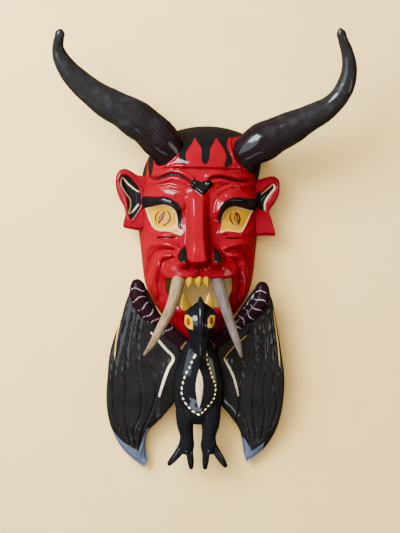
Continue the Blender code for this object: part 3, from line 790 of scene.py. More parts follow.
class DashTree(LineTool):
    """The node tree that lays short strokes along a line, one after another."""

    NAME = "laid_dashes"
    INPUTS = (("Count", "Int"), ("Length", "Float"), ("Width", "Float"), ("Height", "Float"),
              ("Seed", "Int"))

    def build(self) -> None:
        """Lay the nodes from the line to the finished dashes."""
        r = Recipe(self.tree)
        given = r.node("NodeGroupInput").outputs
        curve = r.node("GeometryNodeMeshToCurve", {0: given["Line"]}).outputs[0]
        spots = r.node("GeometryNodeCurveToPoints", {"Curve": curve, "Count": given["Count"]}, mode="COUNT")
        size = {0: given["Length"], 1: given["Width"], 2: given["Height"]}
        size = r.node("ShaderNodeCombineXYZ", size).outputs[0]
        dash = r.node("GeometryNodeMeshIcoSphere", {"Radius": 0.5, "Subdivisions": 3}).outputs[0]
        dash = r.node("GeometryNodeTransform", {"Geometry": dash, "Scale": size}).outputs[0]
        aim = r.node("FunctionNodeAlignRotationToVector", {"Vector": spots.outputs["Tangent"]}, axis="X",
                     pivot_axis="Z").outputs[0]
        wobble = r.node("FunctionNodeRandomValue", {"Seed": given["Seed"]}, data_type="FLOAT_VECTOR")
        wobble.inputs["Min"].default_value = (0.75, 0.85, 0.9)
        wobble.inputs["Max"].default_value = (1.15, 1.15, 1.1)
        laid = r.node("GeometryNodeInstanceOnPoints",
                      {"Points": spots.outputs["Points"], "Instance": dash, "Rotation": aim,
                       "Scale": wobble.outputs[0]}).outputs[0]
        self.hand_out(r, laid, given["Finish"])

    def make(self, name: str, line: np.ndarray, count: int, length: float, width: float, height: float,
             finish: bpy.types.Material, seed: int = 1) -> bpy.types.Object:
        """Lay dashes along a line.

        Args:
            name: The object's name.
            line: Points in metres.
            count: How many dashes.
            length: Length of one in metres.
            width: Width of one in metres.
            height: Thickness of one in metres.
            finish: The material.
            seed: Fixes their slight differences.

        Returns:
            The dashes as one plain mesh.
        """
        laid = self.run(name, line, {"Count": count, "Length": length, "Width": width, "Height": height,
                                     "Seed": seed, "Finish": finish})
        close(laid, None)
        return laid


# The head


@dataclass
class HeadForm:
    """The head's plain form and the carving over it, in grid millimetres."""

    half_width: float = 80.0
    depth: float = 86.0
    chin: float = -108.0
    crown: float = 188.0
    wall: float = 9.0
    nose_height: float = 40.0
    nose_middle: float = -2.2
    nostrils: Line = ((-19.5, 11.0), (20.5, 11.0))
    power: float = 2.5
    lean: float = 11.0
    lean_from: float = 95.0
    lean_over: float = 90.0
    centre: float = 3.0
    bulge: float = 13.0
    fold_mirror: float = 5.0
    deepest: float = -14.0
    lip_swells: Line = ((-23.0, -4.0), (26.0, -4.0))
    shares: Line = (
        (-108, 0.16), (-104, 0.18), (-82, 0.40), (-72, 0.52), (-58, 0.67), (-39, 0.82), (-19, 0.90),
        (5, 0.94), (27, 0.97), (50, 1.0), (91, 0.99), (114, 0.98), (148, 0.965), (170, 0.88), (188, 0.74))
    depths: Line = (
        (-108, 1.0), (-80, 0.98), (-55, 0.94), (-20, 0.95), (20, 0.93), (55, 0.92), (90, 0.97), (120, 1.02),
        (150, 1.05), (188, 1.08))
    furrow_left: Line = (
        (-60, 113), (-51, 112.5), (-44, 115), (-35, 117.5), (-26, 116), (-16, 111), (-9, 106))
    furrow_right: Line = ((12, 109), (19, 112.5), (29, 113.5), (41, 110.8), (53, 109.3), (66, 110))
    low_furrow: Line = ((-50, 105), (-37, 106), (-27, 103), (-17, 97))
    knob: Line = ((-12, 103.5), (-8, 109.5), (2, 107), (12, 110), (17, 104.5), (4, 90))
    brow_left: Line = ((-71, 86), (-59, 83), (-47, 84), (-36, 80), (-28, 73), (-24, 60), (-22, 50))
    brow_right: Line = ((76, 84), (55, 84), (43, 84), (33, 79), (27, 70), (25, 56))
    eyes: Line = ((-45.0, 61.0), (48.0, 61.0))
    lids: tuple[Line, Line] = (
        ((-69.3, 77.7), (-62.4, 76.4), (-53.9, 77.8), (-45.9, 78.8), (-37.9, 76.7), (-31.8, 72.4),
         (-28.5, 67.2), (-27, 58.9), (-26.2, 50.1), (-23.3, 45), (-26.5, 40.6), (-34.1, 43.7),
         (-41.7, 45), (-51.2, 45.6), (-56.9, 49.3), (-62, 58.9), (-65.8, 69.1)),
        ((72.2, 74.1), (65.8, 73.8), (54.6, 75.7), (43.7, 76.7), (35.1, 72.4), (30.5, 66.5),
         (29.3, 58.9), (27.9, 50.1), (26.5, 42.5), (34.3, 45), (44.5, 44.6), (55.4, 44.2),
         (60.1, 50.1), (65.3, 60.2), (69.2, 68.4)))
    fold_one: Line = ((-29, 24), (-40, 28), (-48, 29.5), (-59, 29), (-66, 24), (-69, 14), (-70, -2))
    fold_two: Line = ((-36, 14), (-46, 13), (-52, 8), (-57, -6), (-59, -22), (-56, -38))
    groove_one: Line = ((-34, 20), (-45, 20.5), (-55, 18), (-61, 8), (-64, -6), (-65, -20))
    groove_two: Line = ((-30, 10), (-44, 6), (-48, -6), (-50, -22), (-48, -40))
    lip_edge: Line = (
        (-50, 1), (-48, -6), (-42, -12), (-36, -15), (-21, -14), (3, -13), (23, -14), (38, -14), (46, -8),
        (49, 0))

    def mirrored(self, points: Line) -> Line:
        """Return a left line turned over to the right half of the face."""
        return tuple((self.fold_mirror - px, py) for px, py in points)

    def nose(self, x: np.ndarray, y: np.ndarray) -> np.ndarray:
        """Return the height of the nose and its wings over the face."""
        rise = self.nose_height * (0.22 + 0.78 * smooth((92.0 - y) / 86.0)) * smooth((104.0 - y) / 22.0)
        rise = rise * smooth((y + 4.0 - 0.03 * (x + 2.2) ** 2) / 10.0)
        flat = 4.5 + 2.5 * smooth((40.0 - y) / 40.0)
        middle = self.nose_middle
        left = 9.5 + 2.5 * smooth((60.0 - y) / 60.0)
        right = 12.0 + 3.0 * smooth((60.0 - y) / 60.0)
        slope = np.where(x < middle, left, right)
        bridge = rise * smooth((flat + slope - np.abs(x - middle)) / slope) ** 0.75
        off = np.minimum(np.abs(x - middle) / 12.0, 1.0)
        bridge = bridge - 1.8 * smooth((60.0 - y) / 50.0) * off ** 2 * (bridge > 4)
        wings = np.zeros(np.shape(x))
        for centre in self.nostrils:
            wings = np.maximum(wings, 0.52 * self.nose_height * hill(x, y, centre, (9.0, 12.0), 3.5))
        return np.maximum(bridge, wings)

    def furrows(self, x: np.ndarray, y: np.ndarray) -> np.ndarray:
        """Return the relief of the forehead: furrows, wrinkles, knob and the ledges by the horns."""
        z = 4.0 * hill(x, y, (4.0, 142.0), (46.0, 22.0))
        cap = (
            (-21.0, 196.0), (-22.0, 166.0), (-28.0, 146.0), (-36.0, 135.0), (-47.0, 126.0), (-20.0, 125.0),
            (30.0, 124.0), (58.0, 124.0), (47.0, 136.0), (43.0, 150.0), (44.0, 170.0), (46.0, 196.0))
        z = z + 3.5 * smooth((inside_distance(x, y, cap) + 1.0) / 2.6)
        for line in (self.furrow_left, self.furrow_right):
            above = [(px, py + 5.0) for px, py in line]
            below = [(px, py - 5.0) for px, py in line]
            z = ridges(x, y, z, ((3.2, above, 3.2), (3.0, below, 2.8), (-3.0, line, 2.0)))
        for line in (self.low_furrow, self.mirrored(self.low_furrow)):
            below = [(px, py - 4.0) for px, py in line]
            lowest = [(px + 2.0, py - 8.0) for px, py in line[1:]]
            z = ridges(x, y, z, ((-1.5, line, 1.8), (0.8, below, 1.8), (-0.9, lowest, 1.6)))
        z = z + 5.0 * smooth((inside_distance(x, y, self.knob) + 1.2) / 3.0)
        left_ledge = ((-23.0, 160.0), (-24.0, 146.0), (-33.0, 136.0), (-44.0, 129.0), (-62.0, 124.0))
        right_ledge = ((46.0, 160.0), (43.0, 144.0), (48.0, 133.0), (60.0, 126.0), (74.0, 122.0))
        return ridges(x, y, z, ((2.2, left_ledge, 2.2), (2.2, right_ledge, 2.2),
                                (1.6, ((-40.0, 127.0), (-30.0, 128.0), (-20.0, 127.0)), 2.0),
                                (-1.5, ((-30.0, 124.0), (3.0, 122.5), (36.0, 123.0)), 3.0)))

    def brows(self, x: np.ndarray, y: np.ndarray) -> np.ndarray:
        """Return the relief of brows, sockets, eyes and lids."""
        z = np.zeros(np.shape(x))
        z = ridges(x, y, z, ((8.5, self.brow_left[:5], 7.5), (8.5, self.brow_right[:5], 7.5)))
        for (cx, cy), lid in zip(self.eyes, self.lids):
            z = z - 11.0 * hill(x, y, (cx, cy - 1.0), (25.0, 18.5), 4.0)
            z = z + 7.0 * hill(x, y, (cx, cy), (19.0, 14.5), 3.0)
            z = z + 3.0 * ridge(x, y, ((cx - 18.0, 44.5), (cx, 41.5), (cx + 16.0, 43.0)), 3.0)
            inside = inside_distance(x, y, lid)
            z = z + 1.5 * np.exp(-((inside + 1.6) / 1.5) ** 2) - 1.1 * smooth((inside + 0.2) / 1.2)
            z = z - 1.6 * ridge(x, y, ((cx - 15.0, 37.5), (cx, 35.0), (cx + 14.0, 36.5)), 1.6)
        frown_left = ((-29.0, 89.0), (-20.0, 87.0), (-16.5, 82.0), (-16.0, 72.0))
        frown_right = ((33.0, 89.0), (25.0, 88.0), (20.0, 82.0), (19.0, 72.0))
        return ridges(x, y, z, ((-1.8, frown_left, 1.8), (-1.8, frown_right, 1.8)))

    def muzzle(self, x: np.ndarray, y: np.ndarray) -> np.ndarray:
        """Return the relief of cheeks, folds, lips and chin."""
        z = np.zeros(np.shape(x))
        for turn in (lambda line: line, self.mirrored):
            z = ridges(x, y, z, ((7.0, turn(self.fold_one), 4.6), (6.5, turn(self.fold_two), 4.6),
                                 (-4.0, turn(self.groove_one), 2.8), (-4.5, turn(self.groove_two), 3.2)))
            z = z + 6.0 * hill(x, y, turn(((-44.0, 24.0),))[0], (20.0, 14.0))
        for centre in self.lip_swells:
            z = z + 15.0 * hill(x, y, centre, (27.0, 15.0), 3.0)
        z = ridges(x, y, z, ((3.0, self.lip_edge, 4.0), (-5.0, ((1.5, 0.0), (1.5, -16.0)), 4.0)))
        chin = ((-30.0, -56.0), (-14.0, -61.0), (3.0, -62.0), (20.0, -61.0), (36.0, -55.0))
        return z + 8.0 * ridge(x, y, chin, 8.0) + 10.0 * hill(x, y, (3.0, -86.0), (22.0, 16.0))

    def carving(self, x: np.ndarray, y: np.ndarray) -> np.ndarray:
        """Return the height of all the carving over the plain form."""
        z = self.furrows(x, y) + self.brows(x, y) + self.muzzle(x, y)
        return np.maximum(z, self.deepest) + self.nose(x, y)

    def even(self, count: int, reach: float) -> np.ndarray:
        """Return angles that share a section's arc about evenly.

        Args:
            count: How many.
            reach: Half the section's width, against the form's depth.

        Returns:
            Angles from the one edge to the other.
        """
        angle = np.linspace(-0.5 * math.pi, 0.5 * math.pi, 20001)
        across = np.sign(np.sin(angle)) * np.abs(np.sin(angle)) ** (2.0 / self.power)
        up = np.abs(np.cos(angle)) ** (2.0 / self.power)
        steps = np.hypot(np.diff(across) * reach, np.diff(up) * self.depth * 0.45)
        arc = np.concatenate(([0.0], np.cumsum(steps)))
        made = np.interp(np.linspace(0.0, arc[-1], count), arc, angle)
        made[0], made[-1] = -0.5 * math.pi, 0.5 * math.pi
        return made

    def field(self, columns: int, rows: int, grow: float = 0.0, hollow: bool = False) -> np.ndarray:
        """Return the head's height field, rows from chin to crown.

        Args:
            columns: Points across.
            rows: Points from chin to crown.
            grow: How far the form is grown.
            hollow: True for the plainer form of the inside.

        Returns:
            An array of rows of columns of points.
        """
        power = 2.0 / self.power
        theta = self.even(columns, self.half_width)
        phi = self.even(rows, 0.5 * (self.crown - self.chin))
        across = np.sign(np.sin(theta)) * np.abs(np.sin(theta)) ** power
        upward = np.sign(np.sin(phi)) * np.abs(np.sin(phi)) ** power
        s, t = np.meshgrid(across, upward)
        side, end = np.meshgrid(np.abs(np.cos(theta)) ** power, np.abs(np.cos(phi)) ** power)
        y_line = 0.5 * (self.chin + self.crown) + t * (0.5 * (self.crown - self.chin) + grow)
        half = through(self.shares, y_line) * self.half_width + grow
        x = self.centre + self.lean * smooth((y_line - self.lean_from) / self.lean_over) + s * half
        y = y_line - self.bulge * smooth((t - 0.3) / 0.7) * s * s
        z = (through(self.depths, y_line) * self.depth + grow) * side * end
        detail = self.carving(x, y)
        if hollow:
            detail = np.minimum(detail, 0.0) * 1.1 + 0.4 * self.nose(x, y)
        return np.stack((x, y, z + detail * smooth(side * end / 0.55)), axis=-1)

    def height(self, x: float, y: float) -> float:
        """Return the height of the carved face at one place of its middle stretch."""
        at = np.array(float(y))
        half = float(through(self.shares, at)) * self.half_width
        side = (1.0 - abs((x - self.centre) / half) ** self.power) ** (1.0 / self.power)
        reach = 0.5 * (self.crown - self.chin)
        end = (1.0 - abs((y - 0.5 * (self.chin + self.crown)) / reach) ** self.power) ** (1.0 / self.power)
        plain = through(self.depths, at) * self.depth * side * end
        return float(plain + self.carving(np.array(float(x)), at))

    def solid(self, name: str, bench: Bench, columns: int, rows: int, grow: float = 0.0,
              hollow: bool = False, floor: float = 0.0) -> bpy.types.Object:
        """Return the form closed down to a flat floor.

        Args:
            name: The object's name.
            bench: Where the grid lies.
            columns: Points across.
            rows: Points from chin to crown.
            grow: How far the form is grown.
            hollow: True for the inside.
            floor: Height of the floor.

        Returns:
            The closed object.
        """
        points = self.field(columns, rows, grow, hollow)
        number = np.arange(rows * columns).reshape(rows, columns)
        quads = np.stack((number[:-1, :-1], number[:-1, 1:], number[1:, 1:], number[1:, :-1]), axis=-1)
        border = np.concatenate((number[0], number[1:, -1], number[-1, -2::-1], number[-2:0:-1, 0]))
        low = points.reshape(-1, 3)[border].copy()
        low[:, 2] = floor
        start = rows * columns
        faces = quads.reshape(-1, 4).tolist()
        count = len(border)
        faces += [(border[(k + 1) % count], border[k], start + k, start + (k + 1) % count)
                  for k in range(count)]
        faces.append(tuple(start + k for k in range(count)))
        return put(name, bench.metres(np.concatenate((points.reshape(-1, 3), low))), faces)


@dataclass
class Mask:
    """The carved shell with its paint."""

    form: HeadForm
    bench: Bench
    columns: int = 250
    rows: int = 330
    mouth: Line = (
        (-42, -14), (-30, -15), (3, -14), (30, -16), (43, -14), (44, -30), (37, -46), (24, -53), (3, -50),
        (-20, -53), (-35, -48), (-42, -30))
    slits: Line = ((-54, -29, 37.2), (33, 53, 36.4))
    slit_height: float = 2.2
    slit_ends: Line = ((0.0, 0.0), (2.0, 0.8), (6.0, 1.0))
    top: float = 170.0
    irises: Line = ((-45.7, 62.4), (47.1, 62.1))
    iris_radius: float = 8.6
    eye_rim: float = 2.0
    lacquer: Lacquer = Lacquer(
        "red_lacquer", (0.22, 0.0015, 0.008), (0.155, 0.001, 0.007),
        (Coat("cream", (0.48, 0.36, 0.16)), Coat("gold", (0.50, 0.26, 0.0)),
         Coat("amber", (0.45, 0.19, 0.0)), Coat("ink", (0.04, 0.012, 0.004)),
         Coat("black", (0.006, 0.006, 0.006))),
        roughness=0.16, coat_weight=0.85, wave=0.45, chisel=0.10, bare_inside=True)

    def black(self) -> list[Outline | Stroke]:
        """Return what is painted black on the face."""
        hair = (
            (-62, 196.2), (7.9, 211.4), (80.2, 196.2), (52.3, 169.5), (39.1, 165.1), (36.1, 154.4),
            (40.1, 143.3), (42.9, 136.5), (41.5, 129.5), (36.1, 126.1), (31.9, 126.8), (33.3, 132.3),
            (34.7, 139.2), (33.3, 146), (27.8, 157.1), (23, 165.3), (19.5, 158.5), (14, 148.8),
            (13.3, 140.6), (11.3, 132.3), (7.6, 128.4), (3, 135.2), (3.3, 141.9), (3, 150.2), (-1.1, 158.5),
            (-4.6, 165.3), (-8, 158.5), (-13.6, 150.2), (-17, 141.9), (-16.3, 135.1), (-14.4, 129.1),
            (-20.1, 129.8), (-23.1, 132.3), (-25.9, 140.6), (-25.3, 146), (-21.1, 155.7), (-20.4, 165.3),
            (-36.6, 175.8))
        temple_one = (
            (-88, 152.1), (-68, 146.9), (-65.9, 135.1), (-66.9, 123.4), (-70.2, 114.2), (-88, 110))
        temple_two = ((-63.9, 150.2), (-58.1, 141.2), (-58, 127), (-61.8, 114.1), (-64.1, 127))
        temple_three = (
            (71.6, 133.2), (90, 138.4), (95, 117.6), (79.4, 109.8), (75.4, 117.6), (72.1, 125.5))
        knob = (
            (-11.6, 103.3), (-11.4, 107.1), (-8.2, 109.6), (-2, 108.6), (2.4, 106.8), (6.8, 108.6),
            (12.4, 109.7), (16.3, 107.1), (16.6, 102.7), (11.8, 97.1), (7.4, 92.7), (3.4, 90.3), (-2, 93.9),
            (-8.2, 98.3))
        brow_left = (
            (-90, 92), (-64.6, 90.5), (-53.2, 89), (-44.4, 88.7), (-38.1, 87.2), (-30.6, 82.5),
            (-24.8, 77.4), (-22.3, 71.1), (-21.3, 63.6), (-22.5, 54.8), (-24, 46.6), (-26, 49.7),
            (-26.8, 59.8), (-28.6, 68.6), (-31.2, 72.4), (-36, 76.7), (-44.9, 78.9), (-54.5, 78.3),
            (-64.6, 76.2), (-90, 75.5))
        brow_right = (
            (92, 88.1), (70.1, 88.2), (62.1, 88), (47.5, 88), (36.8, 85.5), (29.5, 79.9), (26.1, 72.4),
            (24.7, 64.8), (25.1, 56), (26.8, 53.5), (28.3, 61.7), (30.1, 67.3), (33.9, 72.6), (42.4, 76.7),
            (52.5, 76.7), (67.6, 73.4), (75.2, 72.9), (92, 74.9))
        nostril_left = (
            (-17.3, 26.8), (-21, 23.7), (-25.4, 18.1), (-27.3, 11.8), (-25.4, 6.6), (-21, 4.9), (-17, 5.4),
            (-16.5, 15.6))
        nostril_right = (
            (18.3, 24.3), (22, 21.8), (25.7, 16.2), (27.1, 10), (25.4, 5.2), (21.3, 4.1), (18.1, 4.9),
            (17.6, 14.3))
        areas = [Outline(p) for p in (hair, temple_one, temple_two, temple_three, knob, brow_left,
                                      brow_right, nostril_left, nostril_right)]
        return areas + [Stroke(self.form.furrow_left, 3.2, 0.6), Stroke(self.form.furrow_right, 3.0, 0.6)]

    def ink(self) -> list[Outline | Stroke]:
        """Return the fine dark lines of the eyes."""
        lines: list[Outline | Stroke] = []
        pupils = (((-43.9, 70.7), (-50.4, 55.5)), ((48.3, 69.7), (51.1, 53.5)))
        arcs = (
            ((-40, 71), (-37.2, 66.9), (-36.4, 61.4), (-38.5, 56.6), (-45, 52.3)),
            ((41.5, 69.5), (40.2, 63.9), (42, 58.3), (48.3, 52)))
        for (cx, cy), (top, low), arc in zip(self.irises, pupils, arcs):
            lines.append(Stroke(arc, 2.2, 0.4))
            lines.append(Stroke([(2 * cx - px, 2 * cy - py) for px, py in arc], 1.7, 0.5))
            span = np.linspace(0.0, 1.0, 9)
            for bow, width in ((1.0, 1.6), (-1.0, 1.4), (0.1, 1.8)):
                lines.append(Stroke([(top[0] + (low[0] - top[0]) * t + bow * 3.0 * math.sin(math.pi * t),
                                      top[1] + (low[1] - top[1]) * t + bow * math.sin(math.pi * t))
                                     for t in span], width, 0.3))
        return lines

    def build(self) -> bpy.types.Object:
        """Build, cut and paint the shell.

        Returns:
            The shell, still to be fixed to its body.
        """
        shell = self.form.solid("lacquered_shell", self.bench, *counts(self.columns, self.rows))
        outer = bpy.data.materials.new("outer_mark")
        inner = bpy.data.materials.new("inner_mark")
        shell.data.materials.append(outer)
        hollow = self.form.solid("hollow", self.bench, 60, 80, grow=-self.form.wall, hollow=True,
                                 floor=BELOW)
        hollow.data.materials.append(inner)
        cut(shell, [hollow])
        tools = [self.prism("mouth_opening", self.mouth)]
        half = 0.5 * self.slit_height
        for k, (x0, x1, y) in enumerate(self.slits):
            edge = [(x0 + run, rise * half) for run, rise in self.slit_ends]
            edge += [(x1 - run, rise * half) for run, rise in self.slit_ends[::-1]]
            corners = [(px, y - rise) for px, rise in edge]
            corners += [(px, y + rise) for px, rise in edge[-2:0:-1]]
            tools.append(self.prism(f"slit_{k}", corners))
        cut(shell, tools)
        return shell

    def prism(self, name: str, outline: Line) -> bpy.types.Object:
        """Return an upright cutter on an outline."""
        return loft(name, [self.bench.metres([(px, py, z) for px, py in outline])
                           for z in (-1.0, self.top)])

    def dress(self, shell: bpy.types.Object) -> None:
        """Mark the paint on the finished shell and give it its lacquer."""
        mesh = shell.data
        slots = np.zeros(len(mesh.polygons), np.int32)
        mesh.polygons.foreach_get("material_index", slots)
        names = [m.name for m in mesh.materials]
        bare_slot = names.index("inner_mark") if "inner_mark" in names else -1
        bare = np.zeros(len(mesh.vertices))
        for polygon in mesh.polygons:
            if slots[polygon.index] == bare_slot:
                bare[list(polygon.vertices)] = 1.0
        mark(shell, "bare", bare)
        mesh.polygons.foreach_set("material_index", np.zeros(len(mesh.polygons), np.int32))
        clad(shell, self.lacquer.material(), 60.0)
        outside = bare < 0.5
        lids = [Outline(lid) for lid in self.form.lids]
        tear = Outline(((-29, 46.3), (-24, 48), (-18.9, 45), (-24, 38.7)))
        self.bench.paint(shell, "cream", lids + [tear], outside)
        x, y, _ = self.bench.grid(shell)
        eyeball = np.max([lid.depth(x, y) for lid in lids], axis=0) - self.eye_rim
        mark(shell, "gold", np.where(outside, eyeball, OUTSIDE))
        amber = np.full(len(x), OUTSIDE)
        for cx, cy in self.irises:
            amber = np.maximum(amber, self.iris_radius - np.hypot(x - cx, y - cy))
        mark(shell, "amber", np.where(outside, np.minimum(amber, eyeball), OUTSIDE))
        self.bench.paint(shell, "ink", self.ink(), outside)
        self.bench.paint(shell, "black", self.black(), outside)


@dataclass
class Teeth:
    """The carved yellow teeth of both jaws."""

    form: HeadForm
    bench: Bench
    upper: Line = ((-17.0, -7.7, -14.4), (-7.8, 5.0, -0.8), (4.9, 13.2, 10.0))
    lower: Line = ((-16.8, 8.2, -19.0, -33.4), (12.2, 8.4, 13.8, -33.0), (-7.2, 3.2, -7.4, -44.5))
    length: float = 12.5
    upper_gum: float = -14.0
    lower_gum: float = -57.0
    set_back: float = 0.8
    paint: PlainPaint = PlainPaint("tooth_yellow", (0.48, 0.29, 0.001), (0.32, 0.16, 0.001), roughness=0.18,
                                   scale=90.0, coat_weight=0.6)

    def build(self) -> list[bpy.types.Object]:
        """Build a piece for each jaw."""
        finish = self.paint.material()
        made = []
        for name, cutting, teeth, angle in (("upper_teeth", self.facetted, self.upper, 28.0),
                                            ("lower_teeth", self.fang, self.lower, 60.0)):
            piece = joined(name, [cutting(*tooth) for tooth in teeth])
            clad(piece, finish, angle)
            made.append(piece)
        return made

    def facetted(self, left: float, right: float, tip_x: float) -> bpy.types.Object:
        """Return one upper tooth: a stubby point cut in flat planes."""
        z = self.form.height(0.5 * (left + right), -10.0) - 0.5 * self.form.wall - 1.5
        tip = self.upper_gum - self.length
        loops = []
        for share, y in ((1.0, -12.6), (1.0, -19.0), (0.80, -21.5), (0.06, tip)):
            a = tip_x + (left - tip_x) * share
            b = tip_x + (right - tip_x) * share
            flat = 0.30 * (b - a)
            deep = 4.4 * (0.35 + 0.65 * share)
            loops.append([(a, y, z - self.set_back), (a + flat, y, z + deep), (b - flat, y, z + deep),
                          (b, y, z - self.set_back), (b - 0.5 * flat, y, z - deep),
                          (a + 0.5 * flat, y, z - deep)])
        return loft("tooth", self.bench.metres(loops), None, 20.0)

    def fang(self, x: float, half_width: float, tip_x: float, tip_y: float) -> bpy.types.Object:
        """Return one lower fang: a full, smooth cone."""
        z = self.form.height(x, self.lower_gum) - 0.6 * self.form.wall
        loops = []
        for t in np.linspace(0.0, 1.0, 14):
            share = (1.0 - t) ** 0.68 + 0.02
            cx, y = x + (tip_x - x) * t, self.lower_gum + (tip_y - self.lower_gum) * t
            loops.append([(cx + half_width * share * math.cos(a), y,
                           z + 5.0 * share * math.sin(a) + 1.5 * t)
                          for a in np.linspace(0.0, 2.0 * math.pi, 25)[:-1]])
        return loft("fang", self.bench.metres(loops))


# Horns, tusks and ears


@dataclass
class Paired:
    """A piece that has a twin on the other half of the mask."""

    side: Side
    bench: Bench

    def chosen(self, name: str) -> Line:
        """Return this side's version of a paired line."""
        return getattr(self, f"{name}_{self.side.value}")


@dataclass
class Swept(Paired):
    """A paired piece with a part that is swept along a line."""

    sweep: SweepTree

    def line(self, steps: int, name: str = "line") -> np.ndarray:
        """Return this side's centre line in metres with its radius shares."""
        return self.bench.path(self.chosen(name), steps)


@dataclass
class Horn(Swept):
    """One swept horn, seated on the crown."""

    radius: float = 24.5
    steps: int = 150
    sides: int = 56
    line_left: Line = (
        (-29, 128, 36, 0.90), (-40, 151, 60, 0.94), (-61, 173.4, 69, 1.0), (-87, 191.4, 76, 0.93),
        (-121, 209, 83, 0.77), (-146, 227, 90, 0.64), (-163, 243.6, 97, 0.53), (-172.6, 259, 104, 0.39),
        (-174.8, 269, 110, 0.285), (-172.6, 278, 117, 0.245), (-170.6, 284.4, 122.6, 0.20),
        (-169.9, 286.6, 124.4, 0.09))
    line_right: Line = (
        (55, 130, 36, 0.88), (66, 149, 60, 0.93), (90, 164, 68, 1.0), (117, 177, 75, 0.85),
        (142.6, 190, 81, 0.70), (164, 202, 87, 0.57), (177.8, 216, 93, 0.50), (184.2, 229.3, 99, 0.46),
        (186.9, 249.3, 106, 0.39), (182.8, 266.2, 112, 0.31), (176.5, 280, 118, 0.25),
        (171.6, 291.0, 124, 0.15), (170.8, 293.4, 125, 0.05))

    def build(self, finish: bpy.types.Material) -> bpy.types.Object:
        """Sweep the horn."""
        return self.sweep.make(f"curved_horn_{self.side.value}", self.line(self.steps), self.radius * MM,
                               finish, self.sides, ripples=6.0, ripple_size=0.045, roughness=1.1 * MM,
                               grain=70.0, seed=1.0 if self.side is Side.LEFT else 4.0)


@dataclass
class Tusk(Swept):
    """One antler tine, let into its socket in the lip."""

    radius: float = 8.0
    steps: int = 90
    sides: int = 30
    line_left: Line = (
        (-23, -4, 77, 1.0), (-27, -20, 85, 1.02), (-34.5, -47, 98, 0.86), (-50, -77.4, 112, 0.68),
        (-62, -98, 123, 0.45), (-69.7, -107, 131, 0.17))
    line_right: Line = (
        (21, -5, 77, 1.0), (24.5, -21, 85, 1.02), (31, -48.2, 98, 0.86), (40.5, -79.8, 112, 0.68),
        (46.5, -99.7, 123, 0.45), (48.9, -110.5, 131, 0.17))

    def build(self) -> bpy.types.Object:
        """Sweep the tine and give it its finish."""
        if self.side is Side.LEFT:
            finish = AntlerFinish("antler_warm", (0.25, 0.175, 0.085), (0.14, 0.085, 0.036))
        else:
            # The right tine is coloured darker and greyer than the left: painted shade, for the half of the
            # mask that the lamps leave dim.
            finish = AntlerFinish("antler_grey", (0.115, 0.085, 0.075), (0.060, 0.043, 0.037))
        return self.sweep.make(f"antler_tusk_{self.side.value}", self.line(self.steps),
                               self.radius * MM * 0.985, finish.material(), self.sides,
                               roughness=0.5 * MM, grain=160.0, seed=2.0 if self.side is Side.LEFT else 7.0)

    def socket(self) -> bpy.types.Object:
        """Return the cutter of the tine's socket, grown by the fit."""
        path = self.line(14)
        path[0, :3] += (path[0, :3] - path[1, :3]) * 0.05
        return self.sweep.make(f"socket_{self.side.value}", path, self.radius * MM, None, 18)


